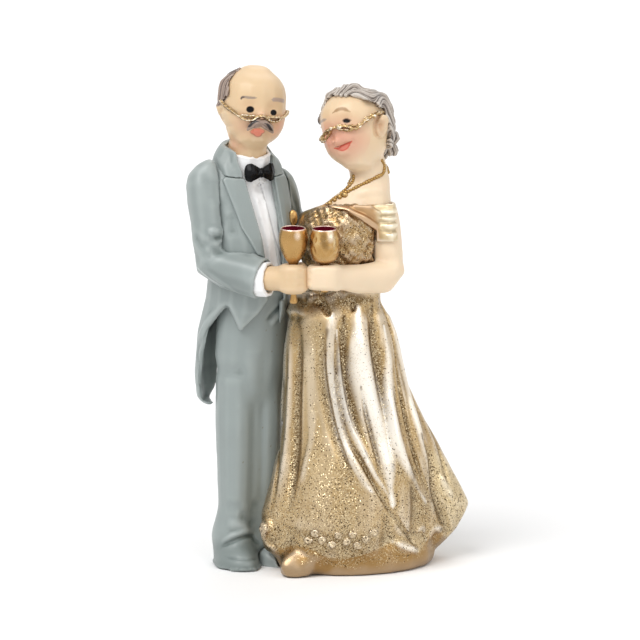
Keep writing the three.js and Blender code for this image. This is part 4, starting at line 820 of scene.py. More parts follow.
def skin_paint(who):
    c = colours()
    skin = c.groom_skin if who == "groom" else c.bride_skin
    look = {"bump": 0.02, "coat": 0.05, "soft": 0.12}
    return painted(who + "_skin", skin, c.skin_painted_shade, "F6E4CC", (0.4, 0.25, 0.08), **look), "skin_paint"


def hair_paint():
    c = colours()
    made = painted("hair_paint", c.hair, c.hair_painted_shade, "DAD2C8", (1.0, 0.7, 0.2), bump=0.03, coat=0.15)
    return made, "hair_paint"


def groom_hair_paint():
    c = colours()
    wear = (1.0, 0.5, 0.2)
    made = painted("groom_hair_paint", c.groom_hair, c.groom_hair_painted_shade, "BDAEA2", wear, bump=0.03, coat=0.15)
    return made, "hair_paint"


def black_gloss():
    wear = (0.3, 0.5, 0.2)
    made = painted("black_gloss", colours().black, tone("000000"), "121214", wear, 0.25, 0.01, shine=0.15)
    return made, "black_gloss"


def wine_paint():
    made = painted("wine_paint", colours().wine, tone("1E0308"), "8C2A3A", (0.3, 0.3, 0.5), 0.4, shine=0.0)
    return made, "wine_paint"


def gold_leaf(name, base, bright, deep, rough=0.32):
    """Gold leaf without glitter: bright is its painted highlight colour and deep its painted shade colour."""
    if name not in finishes:
        _, r, shader = material(name)
        paint = brushed(r, base, deep, bright, (0.8, 0.6, 0.25))
        r.feed(shader, "Base Color", paint["Colour"])
        shader.inputs["Metallic"].default_value = 0.9
        r.feed(shader, "Roughness", r.sums("ADD", rough - 0.08, r.sums("MULTIPLY", r.noise(1.5), 0.16)))
        r.feed(shader, "Normal", r.bump(0.5, 0.05, paint["Height"]))
    return finishes[name], "gold_paint"


# The gold leaf finishes: base colour, painted highlight colour and painted shade colour
def plain_gold():
    c = colours()
    return gold_leaf("plain_gold", c.gold, c.gold_painted_highlight, c.gold_painted_shade)


def goblet_gold():
    return gold_leaf("goblet_gold", colours().goblet, tone("F0D9B0"), tone("8A6638"), rough=0.28)


def necklace_gold():
    return gold_leaf("necklace_gold", tone("A07C42"), tone("F3E3BC"), tone("4A3316"))


def gown_gold():
    """Gold leaf with glitter, thickest towards the hem and in the valleys of the folds."""
    c = colours()
    made, r, shader = material("gown_gold")
    # Painted shade in the hollows and painted highlights on the edges, under the glitter
    paint = brushed(r, c.gold, c.gold_painted_shade, c.gold_painted_highlight, (0.8, 0.45, 0.25))
    height = r.add("SeparateXYZ", {0: r.where()}).outputs[2]
    low = r.between(height, 30 * MM, 10 * MM, 0.14, 0.55)
    high = r.between(height, 60 * MM, 66 * MM, 0.0, 0.2)
    sunk = r.between(r.attribute("hollow"), -0.3, 0.5, 0.0, 0.35)
    patch = r.between(r.noise(4), 0.35, 0.65, -0.12, 0.12)
    edge = r.sums("ADD", height, r.between(r.noise(5), 0.3, 0.7, -1.5 * MM, 1.5 * MM))
    bare = r.sums("SUBTRACT", 1.0, paint["Gloss"])
    bare = r.sums("MULTIPLY", r.between(edge, 2.6 * MM, 3.6 * MM), bare)
    amount = r.sums("ADD", r.sums("ADD", r.sums("ADD", low, high), sunk), patch)
    amount = r.sums("MULTIPLY", amount, bare)

    def scattered(share, size, tilt, bright, dark):
        inputs = {"Amount": share, "Size": size / MM, "Tilt": tilt}
        inputs |= {"Bright": tone(bright), "Dark": tone(dark)}
        return r.group(glitter_group(), inputs)

    size = sizes().glitter
    flakes = scattered(amount, size, 0.6, "F4E2BC", "6A4C24")
    dark = scattered(r.sums("MULTIPLY", amount, 0.16), size * 1.3, 0.2, "4A3418", "1C130A")
    glittered = r.blend(r.sums("MULTIPLY", flakes["Mask"], 0.62), paint["Colour"], flakes["Colour"])
    r.feed(shader, "Base Color", r.blend(dark["Mask"], glittered, dark["Colour"]))
    shader.inputs["Metallic"].default_value = 0.9
    shine = r.sums("MULTIPLY", flakes["Mask"], -0.06)
    r.feed(shader, "Roughness", r.sums("ADD", r.between(r.noise(1.5), 0.2, 0.8, 0.26, 0.4), shine))
    r.feed(shader, "Normal", r.bump(0.5, 0.05, paint["Height"], Normal=flakes["Normal"]))
    return made, "glitter_gold"


# The pieces


class TopperOperator:
    bl_options = {"REGISTER", "UNDO"}


class TOPPER_OT_suit(TopperOperator, bpy.types.Operator):
    """Model and paint the groom's tailcoat, collar, lapels and sleeves"""

    bl_idname = "topper.suit"
    bl_label = "Suit"

    def execute(self, context):
        voxel = sizes().cloth_voxel
        coat = cast("groom_tailcoat", voxel=voxel, round_off=0.45)
        coat.soften(30, coat.within([(182, 384), (216, 384), (216, 412), (182, 412)], 3))
        # The fold along the tail's front edge, and the creases of the side below the arm
        each(
            coat.stroke,
            ([(223, 312), (212, 326), (203, 338), (197, 352), (199, 372), (204, 392)], 1.6, 0.35),
            ([(217, 310), (206, 324), (198, 338)], 1.2, -0.3),
            ([(229, 212), (231, 224), (233, 238)], 2.0, 0.25),
            ([(219, 196), (221, 214), (219, 232)], 2.0, 0.3),
        )
        for azimuth, line in (
            (180, [(19, 62), (17, 52), (18, 40)]),
            (180, [(27, 60), (25, 50), (26, 40)]),
            (150, [(12, 84), (16, 78), (20, 74)]),
            (200, [(8, 82), (12, 76), (14, 68)]),
        ):
            coat.stroke(from_side(coat.piece, azimuth, line), 1.8, 0.35)
        coat.finish(suit_paint())

        # The collar leans in round the neck, and lies lower on the side towards the bride
        collar = cast("groom_coat_collar", voxel=voxel * 0.6, round_off=0.4)
        low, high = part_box("groom_head")
        bottom, top = collar.points[:, 2].min(), collar.points[:, 2].max()
        lifted = np.clip((collar.points[:, 2] - bottom) / (top - bottom), 0, 1) ** 2
        axis = np.array(((low.x + high.x) / 2, (low.y + high.y) / 2 + 1 * MM))
        collar.points[:, :2] += (axis - collar.points[:, :2]) * (0.2 * lifted)[:, None]
        right = np.clip((collar.points[:, 0] - axis[0]) / (5 * MM), 0, 1)
        collar.points[:, 2] -= 2.6 * MM * right * lifted
        collar.shift([(185, 128), (213, 140), (216, 172), (185, 176)], (0.2, 0, -0.2), 8)
        collar.finish(suit_paint())

        sleeve = cast("groom_right_sleeve", voxel=voxel, round_off=0.9)
        across, down = on_picture(sleeve.points)
        shoulder = np.interp(across, (190, 200, 212), (0, 0.6, 1.7)) * np.clip((182 - down) / 12, 0, 1)
        sleeve.points[:, 2] += shoulder * MM
        sleeve.write_points()
        # The crook of the elbow: a lump with a crease that runs out along the forearm's upper edge
        each(
            sleeve.stroke,
            ([(208, 238), (214, 239), (222, 238.5), (232, 241), (244, 248)], 1.5, 0.55, 0.2),
            ([(209, 235), (214, 231.5), (221, 234)], 1.3, -0.5),
            ([(221, 241), (234, 246), (250, 254), (261, 259)], 1.8, -0.45),
            ([(193, 236), (202, 244), (210, 246)], 1.8, 0.3),
            ([(203, 262), (216, 252), (226, 250)], 2.2, 0.25),
            ([(204, 172), (211, 190), (214, 206)], 2.0, 0.2),
            ([(202.5, 268), (220, 281), (240, 294)], 1.0, -0.2),
        )
        # A painted highlight along the forearm's lower edge, and painted shade over its underside
        sleeve.brush([(195.5, 266), (203, 273.5), (213, 281), (224, 287)], 0.4, "D3DAD8", 0.8, 0.3, 0.8)
        sleeve.brush([(206, 264), (222, 279), (248, 290)], 7, colours().suit_painted_shade, 0.28, 0.3, 1.8)
        for azimuth, line in (
            (270, [(-4, 74), (0, 70), (4, 68)]),
            (270, [(-6, 69), (-1, 66), (3, 65)]),
            (240, [(2, 72), (5, 68), (9, 67)]),
        ):
            sleeve.stroke(from_side(sleeve.piece, azimuth, line), 1.6, 0.4)
        sleeve.finish(suit_paint())

        # Behind the bride this one passes lower than her neckline
        sleeve = cast("groom_left_sleeve", voxel=voxel, round_off=0.8)
        sleeve.shift([(300, 170), (335, 170), (335, 216), (300, 216)], (0, 0, -2.4), 8)
        sleeve.write_points()
        sleeve.stroke([(281, 172), (290, 183), (295, 200), (299, 214)], 1.2, 0.35)
        sleeve.stroke([(276, 169), (286, 176), (292, 186)], 1.0, -0.25)
        # A painted highlight along the shoulder seam
        sleeve.brush([(280, 172.5), (288, 181), (292.5, 193), (295, 205)], 0.3, "E6EAE9", 0.75, 0.3, 0.8)
        for line in ([(-14, 78), (-10, 75), (-6, 76)], [(-15, 74), (-11, 71.5), (-7, 72)]):
            sleeve.stroke(from_side(sleeve.piece, 180, line), 1.6, 0.4)
        sleeve.finish(suit_paint())

        trims = ("groom_right_lapel", "groom_left_lapel")
        for node in (*trims, "groom_back_button_right", "groom_back_button_left"):
            cast(node, voxel=sizes().trim_voxel * 1.5, round_off=0.25).finish(suit_paint())
        return {"FINISHED"}


class TOPPER_OT_trousers(TopperOperator, bpy.types.Operator):
    """Model and paint the groom's trousers and shoes"""

    bl_idname = "topper.trousers"
    bl_label = "Trousers and shoes"

    def execute(self, context):
        voxel = sizes().cloth_voxel
        c = colours()
        low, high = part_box("groom_right_shoe")
        foot = ((low.x + high.x) / 2, (low.y + high.y) / 2, 0)
        boot = stretched_copy("groom_right_shoe", (1.36, 1.0, 1.3), foot)
        legs = cast("groom_trousers", "groom_right_shoe", voxel=voxel, round_off=1.3, close=1.2, extra=[boot])
        # The leg draws in to the ankle, and the boot swells out below it
        across, down = on_picture(legs.points)
        drawn_in = np.interp(down, (330, 400, 480, 505, 528, 545), (0.1, 0.6, 0.8, 1.1, 0.0, -0.1))
        legs.points[:, 0] += drawn_in * np.clip((232 - across) / 14, 0, 1) * MM
        legs.write_points()
        legs.stroke([(232, 556), (242, 557), (252, 556)], 5, -0.6, 0.1)
        legs.write_points()
        height = legs.points[:, 2] / MM
        legs.soften(60, np.clip((18 - height) / 6, 0, 1) * (height > 0.8))
        legs.write_points()
        between = [(250, 396), (262, 396), (263, 440), (261, 500), (250, 500), (251, 440)]
        legs.soften(220, legs.within(between, 12))
        legs.write_points()
        # Painted shade over the boot, and plain suit paint over the groove between the legs, which lightens
        # its painted shade
        outline = [(205, 545), (232, 540), (252, 534), (264, 543), (280, 560), (270, 580), (200, 580)]
        legs.coat(legs.within(outline, 14) * 0.5, c.suit_painted_shade)
        legs.coat(legs.within([(251, 380), (270, 380), (268, 500), (251, 500)], 10) * 0.7, c.suit)
        # The hem's arch over the instep, the welt of the sole and the break's folds; then soft folds down the
        # front, and the pull of the cloth at the waist
        instep = [(219.9, 547), (232, 541), (244.8, 536.7), (252, 536), (254.7, 540), (261, 544.6)]
        each(
            legs.stroke,
            (instep, 0.9, 0.45, 0.15),
            ([(221, 543), (232, 537), (245, 532.5), (254, 532)], 1.3, -0.3),
            ([(223, 556.5), (234, 559), (252, 559.5), (266, 556.5)], 0.6, 0.22),
            ([(226, 505), (235, 506.5), (243, 504.5)], 2.2, 0.14),
            ([(238, 512), (247, 513.5), (255, 511)], 2.0, 0.12),
            ([(237, 517), (246, 519.5), (254, 525.5)], 2.0, 0.2),
            ([(226, 522), (238, 525), (250, 529)], 1.8, -0.25),
            ([(262, 350), (261, 372), (262, 392)], 3.0, 0.15),
            ([(254, 334), (252, 372), (254, 404)], 3.0, -0.25),
            ([(266, 322), (275, 312), (285, 302)], 0.9, 0.35),
            ([(270, 326), (279, 315), (286, 307)], 0.9, -0.3),
        )
        for line in (
            [(22, 50), (21, 40), (22, 30)],
            [(16, 46), (15, 34), (16, 20)],
            [(22, 12), (18, 10.5), (13, 12)],
            [(23, 20), (20, 17), (14, 18)],
        ):
            legs.stroke(from_side(legs.piece, 180, line), 1.8, 0.22)
        legs.points[:, 2] = legs.points[:, 2].clip(0)
        # A few flakes of glitter strayed from the gown
        strayed = ((266, 330), (272, 352), (268, 381), (275, 402), (263, 428), (271, 446))
        for flake in (*strayed, (277, 335), (259, 470), (268, 489), (232, 388), (243, 462)):
            legs.spot(flake, 0.12, 0.12, "6E5A34", 0.8)
        legs.finish(suit_paint())
        cast("groom_left_shoe", voxel=voxel * 0.8, round_off=0.6).finish(suit_paint())
        return {"FINISHED"}


class TOPPER_OT_linen(TopperOperator, bpy.types.Operator):
    """Model and paint the shirt, its collar and placket and the cuffs"""

    bl_idname = "topper.linen"
    bl_label = "Linen"

    def execute(self, context):
        voxel = sizes().trim_voxel
        # The chest fills out the shirt below the collar, so far from the camera
        start, ray = sight(248, 186)
        away = 695.7
        chest = ball(1.4, start + ray * away * MM, 24, 16)
        nodes = ("groom_shirt", "groom_shirt_collar", "groom_shirt_placket")
        shirt = cast(*nodes, voxel=voxel * 1.8, round_off=0.3, close=0.9, extra=[chest])
        shirt.shift([(255, 284), (296, 284), (296, 316), (255, 316)], (0, 2.4, 0), 5)
        shirt.soften(90, shirt.within([(244, 180), (270, 180), (276, 200), (250, 200)], 5))
        shirt.write_points()
        for line in (
            [(259.2, 179), (266.8, 205), (275.5, 237.7), (283.1, 260.5)],
            [(272.5, 180), (280, 205), (286, 226)],
        ):
            shirt.stroke(line, 0.5, 0.25, 0.05)
            shirt.brush(line, 0.42, "77737C", 0.9, 0.1, 0.9)
        shirt.stroke([(251, 186), (258, 212), (266, 240)], 1.6, -0.25)
        shirt.stroke([(266.5, 186), (273, 208), (279, 228)], 1.6, -0.25)
        shirt.finish(linen_paint(), 12, 0.1)
        for node in ("groom_right_cuff", "groom_left_cuff"):
            cast(node, voxel=voxel * 1.4, round_off=0.3).finish(linen_paint(), 12, 0.1)
        return {"FINISHED"}


class TOPPER_OT_trims(TopperOperator, bpy.types.Operator):
    """Model and paint the bow tie and the pocket square"""

    bl_idname = "topper.trims"
    bl_label = "Bow tie and pocket square"

    def execute(self, context):
        tie = cast("groom_bow_tie", voxel=sizes().trim_voxel, round_off=0.15)
        low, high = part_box("groom_bow_tie")
        stretch(tie.piece, (1.05, 1.15, 1.3), (low + high) / 2, (0.6 * MM, -0.2 * MM, -0.75 * MM))
        tie.read_points()
        tie.swell((252, 171.5), 2.2, 0.55)
        tie.swell((269, 171), 1.8, 0.3)
        tie.write_points()
        for line in (
            [(257, 168), (259.5, 171.5), (257.5, 175)],
            [(265, 168.5), (264, 171.5), (265, 175)],
            [(266, 171.5), (270, 172.5)],
        ):
            tie.stroke(line, 0.4, 0.2)
        tie.finish(black_gloss(), 8, 0.06)

        low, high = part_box("groom_pocket_square")
        start, ray = sight(292.8, 218)
        proud = 1.5 * MM
        centre = start + ray * (((low + high) / 2 - start).dot(ray) - proud)
        piece = ball(1.1, centre, 48, 32)
        piece.name = piece.data.name = "groom_pocket_square_cast"
        piece.scale = (0.95, 0.6, 1.6)
        bpy.ops.object.transform_apply(location=True, rotation=True, scale=True)
        bpy.ops.object.shade_smooth()
        square = Clay(piece, ["groom_pocket_square"])
        square.crinkle(1.2, 0.04)
        square.finish(goblet_gold(), 8, 0.1)
        return {"FINISHED"}


class TOPPER_OT_groom_head(TopperOperator, bpy.types.Operator):
    """Model and paint the groom's head, hair, moustache and spectacles"""

    bl_idname = "topper.groom_head"
    bl_label = "Groom's head"

    def execute(self, context):
        c = colours()
        voxel = sizes().skin_voxel
        head = cast("groom_head", voxel=voxel, round_off=0.7)
        head.shift([(238, 178), (280, 178), (280, 205), (238, 205)], (0, 2.2, 0), 4)
        # A round crown, and a jaw that draws in below the ear
        head.shift([(235, 52), (282, 52), (282, 75), (235, 75)], (0, 0, 0.28), 14)
        head.shift([(260, 60), (290, 62), (290, 88), (275, 84), (264, 76)], (0, 0, 0.25), 9)
        head.soften(120, head.within([(230, 50), (292, 50), (292, 92), (262, 84), (230, 80)], 14))
        across, down = on_picture(head.points)
        slim = np.interp(down, (114, 120, 126, 132, 138, 144), (0, 0.5, 1.2, 1.1, 0.7, 0.1))
        head.points[:, 0] += slim * np.clip((242 - across) / 22, 0, 1) * MM
        head.write_points()
        # Eye sockets, ear, mouth and the folds beside the nose
        head.swell((250, 106), 2.0, -0.3)
        head.swell((273, 108), 2.0, -0.3)
        each(
            head.stroke,
            ([(224, 107), (220.5, 111), (221, 118), (225, 121)], 0.7, 0.3),
            ([(252, 129.5), (257.5, 131.5), (263, 130)], 1.5, 0.4),
            ([(250, 138.5), (257.5, 140.5), (265, 138.5)], 1.2, -0.2),
            ([(231, 131), (234, 140), (243, 148)], 1.6, 0.25),
        )
        head.write_points()
        # Blush, shade over the eyes, the mouth's dark rim and its paint, and the eyes
        each(
            head.spot,
            ((246, 126), 2.4, 2.0, c.blush, 0.3, 1.7),
            ((279, 127), 2.2, 2.2, c.blush, 0.5, 1.7),
            ((262, 118), 1.5, 1.5, c.blush, 0.3, 1.7),
            ((228, 146), 2.2, 1.6, c.blush, 0.35, 1.7),
            ((248, 105), 1.9, 1.3, "C9A078", 0.4, 1.6),
            ((272, 107), 1.8, 1.3, "C9A078", 0.4, 1.6),
            ((257.2, 131.4), 1.6, 0.75, "B8604C", 0.9),
            ((257.8, 133.6), 0.95, 0.75, "B8604C", 0.9),
            ((257.2, 131.2), 1.45, 0.62, c.groom_mouth, 1, 0.2, 0.6),
            ((257.8, 133.3), 0.8, 0.62, c.groom_mouth, 1, 0.2, 0.6),
            ((250.2, 109.4), 0.86, 0.72, c.black, 1, 0.2, 1),
            ((273.7, 112.6), 0.84, 0.64, c.black, 1, 0.2, 1),
        )
        # The last of the hair thins out over the temple
        temple = [(212, 92), (229.5, 92), (227, 98), (222.5, 104), (218.5, 106.5), (212, 106)]
        head.coat(head.within(temple, 1.5) * 0.95, "8F7F77")
        each(
            head.brush,
            ([(227, 94), (222, 97), (218, 98)], 0.3, "4B3A37", 0.8, 0.2, 0.7),
            ([(225, 98), (221, 101), (217.5, 102)], 0.3, "4B3A37", 0.8, 0.2, 0.7),
            ([(222, 102), (219, 104.5), (217.5, 105)], 0.3, "4B3A37", 0.8, 0.2, 0.7),
            ([(241, 99.2), (242.6, 97), (249.4, 97.6), (257, 98)], 0.5, "8A7B72", 0.8),
            ([(240.9, 99.8), (241.8, 97.6), (244.5, 97)], 0.4, "4A3A34", 0.9),
            ([(271.7, 99.6), (278.4, 99.8), (284.4, 101.2)], 0.85, "A8938A", 0.85, 0.08),
        )
        head.finish(skin_paint("groom"))

        hair = cast("groom_hair", voxel=voxel, round_off=0.35)
        low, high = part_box("groom_head")
        centre = Vector(((low.x + high.x) / 2, (low.y + high.y) / 2, 100.5 * MM))
        hair.grow(-0.3)
        hair.shift([(243, 40), (300, 40), (300, 76), (250, 70), (241, 66)], (0.5, 2.5, -2.0), 5)
        hair.shift([(205, 106), (228, 106), (232, 140), (205, 140)], (2.0, 1.0, 0), 8)
        hair.shift([(210, 89), (225, 89), (223, 101), (210, 103)], (0, 0, -1.4), 5)
        hair.comb(centre, (0.1, 0.5, 0.9), ((30, 0.4), (82, 0.2)), 0.05, 5, 0.5)
        hair.finish(groom_hair_paint(), 8, 0.06)

        moustache = cast("groom_moustache", voxel=sizes().trim_voxel, round_off=0.15)
        across, _ = on_picture(moustache.points)
        moustache.points[:, 0] += (252 - across).clip(0) * 0.38 / PIXELS_PER_MM * MM
        moustache.write_points()
        for line in (
            [(256, 123), (251, 126), (247.5, 129)],
            [(257, 125), (253, 129), (249, 131)],
            [(262, 124), (266, 127), (271, 131.5)],
            [(260, 126), (263, 130), (267, 132)],
        ):
            moustache.stroke(line, 0.35, 0.14)
        for line in (
            [(247.4, 127), (250, 125.4), (252.4, 122.8), (256, 121.4), (259.5, 122)],
            [(264.6, 123.2), (268, 125), (270.5, 129), (273, 131)],
        ):
            moustache.brush(line, 0.62, "1E1210", 1, 0.25, 0.5)
        moustache.finish(groom_hair_paint(), 8, 0.06)

        # Half-moon lenses, lower than they are wide
        glasses = cast("groom_spectacles", voxel=sizes().trim_voxel * 0.8, round_off=0, grow=0.15 * MM)
        across, down = on_picture(glasses.points)
        middle = np.interp(across, (238, 250, 262, 270, 287), (117.6, 118.2, 117.0, 118.6, 117.6))
        flatter = np.interp(across, (234, 240), (0, 0.36))
        glasses.points[:, 2] += (down - middle) * flatter / PIXELS_PER_MM_UP * MM
        glasses.write_points()
        glasses.grow(0.04)
        glasses.crinkle(0.5, 0.06)
        glasses.brush([(221, 102), (230, 109), (238, 114.5)], 1.4, "6E5228", 0.6, 0.2)
        glasses.finish(plain_gold(), 8, 0.05)
        return {"FINISHED"}


class TOPPER_OT_bride_head(TopperOperator, bpy.types.Operator):
    """Model and paint the bride's head, hair, bun and spectacles"""

    bl_idname = "topper.bride_head"
    bl_label = "Bride's head"

    def execute(self, context):
        c = colours()
        voxel = sizes().skin_voxel
        head = cast("bride_head", "bride_shoulders", voxel=voxel * 1.3, round_off=0.7, close=0.7)
        # The chest drops towards the goblets instead of rising into the far shoulder
        across, down = on_picture(head.points)
        edge_across = (300, 310, 320, 328, 336, 344, 350, 353)
        edge = np.interp(across, edge_across, (222, 214, 208.5, 203.5, 197, 191, 184, 178))
        over = np.where((down > 172) & (across < 353), (edge - down).clip(0), 0)
        head.points[:, 2] -= over * 0.85 / PIXELS_PER_MM_UP * MM
        head.write_points()
        head.soften(4, (down > 174) * 1.0)
        head.write_points()
        head.stroke([(352, 196), (364, 192), (378, 190), (388, 192)], 1.6, -0.25)
        crown = [(310, 60), (396, 60), (396, 100), (372, 94), (350, 91), (326, 94), (310, 100)]
        head.shift(crown, (0, 0.8, -1.3), 8)
        # A full jaw, and an ear that stands out
        across, down = on_picture(head.points)
        fuller = np.interp(down, (134, 142, 150, 158, 170, 184, 190), (0, 0.3, 0.9, 1.5, 1.7, 0.3, 0))
        head.points[:, 0] -= fuller * np.clip((356 - across) / 22, 0, 1) * MM
        head.write_points()
        ear = [(377.5, 137), (376, 131), (377, 122), (381, 115.5)]
        ear += [(385.5, 116), (387.5, 121), (386.5, 130), (382, 137)]
        head.grow(head.within(ear, 3) * 0.6)
        head.write_points()
        # Eye socket, plump cheek and nose, mouth and ear
        each(head.swell, ((345, 118), 2.2, -0.3), ((344, 137), 3.4, 0.35), ((327, 139), 2.0, 0.3))
        head.write_points()
        each(
            head.stroke,
            ([(332, 133), (333.5, 140), (332.5, 146)], 0.8, 0.3),
            ([(335, 148.3), (341.5, 147.4), (347, 144.8), (351, 141.8)], 1.1, 0.35),
            ([(351.5, 138.5), (354, 142), (352.5, 146)], 0.8, 0.15),
            ([(337, 154.5), (343, 154), (349, 150)], 1.3, -0.2),
            ([(381, 138.5), (376, 134), (374.6, 127), (375.6, 120), (379.5, 114)], 0.8, 0.3),
        )
        head.swell((380.5, 125), 1.4, -0.45)
        head.write_points()
        _, down = on_picture(head.points)
        head.coat(np.clip((172 - down) / 30, 0, 1) * 0.5, "DAB98D")
        # Blush, and painted shade in the ear's hollow, round its rim and over the eye
        each(
            head.spot,
            ((339, 135), 4.0, 2.8, c.blush, 0.65, 1.6),
            ((327, 141), 2.2, 2.6, c.blush, 0.7, 1.6),
            ((352, 145), 2.4, 2.4, c.blush, 0.35, 1.6),
            ((343, 158), 2.2, 1.6, c.blush, 0.25, 1.6),
            ((380, 125.5), 0.9, 1.5, "B98A66", 0.6, 1.4),
        )
        ear = [(381.5, 138), (376.6, 134), (375.2, 127), (376, 120.5), (379.8, 114.6)]
        head.brush(ear, 0.45, "B98A66", 0.55, 0.3, 1.0)
        head.spot((345, 116.5), 2.0, 1.1, "C9A078", 0.35, 1.6)
        lips = [(334.5, 148.3), (341, 148.6), (347, 145.6), (351.6, 141.4)]
        head.brush(lips, 1.35, c.bride_mouth, 1, 0.4, 0.25, 0.6)
        head.brush([(339, 149.4), (344.5, 147.6), (349, 144)], 0.7, "E58A74", 0.9, 0.3, 0.6)
        head.brush([(334.5, 147.4), (341, 145.6), (347, 143), (351.8, 140.9)], 0.3, "9A3A2E", 0.8)
        head.spot((346.6, 120.9), 0.85, 0.5, c.black, 1, 0.2, 1)
        head.brush([(341.8, 120.8), (346, 118.6), (352, 120.6)], 0.22, "6B4A3A", 0.7)
        eyebrow = [(332.6, 112.9), (338, 109.6), (343.5, 108.8), (350, 111.8)]
        head.brush(eyebrow, 0.75, "A37F58", 0.9, 0.25, 0.5)
        head.brush([(319.8, 124), (321.9, 121), (326.5, 119)], 0.6, "9F928C", 0.8)
        head.finish(skin_paint("bride"))

        low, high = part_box("bride_head")
        bun_low, bun_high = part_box("bride_hair_bun")
        centre, bun = (low + high) / 2, (bun_low + bun_high) / 2
        hair = cast("bride_hair", voxel=voxel, round_off=0.35)
        forehead = [(312, 150), (313, 119), (321.5, 107), (327.5, 99), (334, 95.5), (343, 97), (354, 96.5)]
        forehead += [(361, 98), (369, 102), (377, 104.5), (381, 110), (384, 117), (380, 150)]
        hair.shift(forehead, (0, 3.5, -0.5), 4, centre.y / MM + 2)
        hair.shift([(300, 85), (323, 85), (323, 130), (300, 140)], (1.0, 0, 0), 10)
        hair.shift([(310, 70), (392, 70), (392, 92), (350, 88), (310, 96)], (0, 0, -0.9), 12)
        hair.write_points()
        hair.comb(centre, bun - centre, ((15, 0.6), (46, 0.28), (110, 0.11)), 0.22, 7)
        hair.finish(hair_paint(), 10, 0.08)
        knot = cast("bride_hair_bun", voxel=voxel, round_off=0.3)
        knot.comb(bun, bun - centre, ((7, 0.45), (24, 0.16)), 0.1, 6, 2.4)
        knot.finish(hair_paint(), 10, 0.08)

        # Her spectacles sit low on the nose, and their frame runs up from it in one lumpy line
        rim = evenly(seen(head.piece, [(321, 142), (352.5, 127.4), (384, 112.7)], 12), 0.6)
        lumps = beads("frame_lumps", rim, 0.2)
        voxel = sizes().trim_voxel * 0.8
        glasses = cast("bride_spectacles", voxel=voxel, round_off=0, grow=0.24 * MM, extra=[lumps])
        across, down = on_picture(glasses.points)
        line_across = (316, 322, 325, 329, 333, 339, 345, 351, 357, 361, 365, 373, 380, 388)
        line_down = (141, 138, 134, 130.5, 128, 126.6, 126, 126.2, 126.2, 123.8, 119.4, 115, 112.6, 111)
        line = np.interp(across, line_across, line_down)
        off = (down - 116 - (377 - across) * 0.4655) * np.interp(across, (326, 332), (1.0, 0.5))
        glasses.points[:, 2] += (down - line - off) / PIXELS_PER_MM_UP * MM
        glasses.write_points()
        each(
            glasses.swell,
            ((380, 112.6), 1.0, 0.35),
            ((374, 115), 0.8, 0.3),
            ((366, 118.5), 1.0, 0.4),
            ((361, 121.5), 0.9, 0.4),
            ((359, 125), 0.9, 0.3),
            ((350, 126), 0.8, 0.25),
            ((339, 126.5), 1.1, 0.4),
            ((331, 129), 0.8, 0.3),
            ((322, 140), 1.3, 0.5),
        )
        glasses.write_points()
        glasses.crinkle(0.6, 0.12)
        glasses.finish(plain_gold(), 8, 0.12)
        return {"FINISHED"}


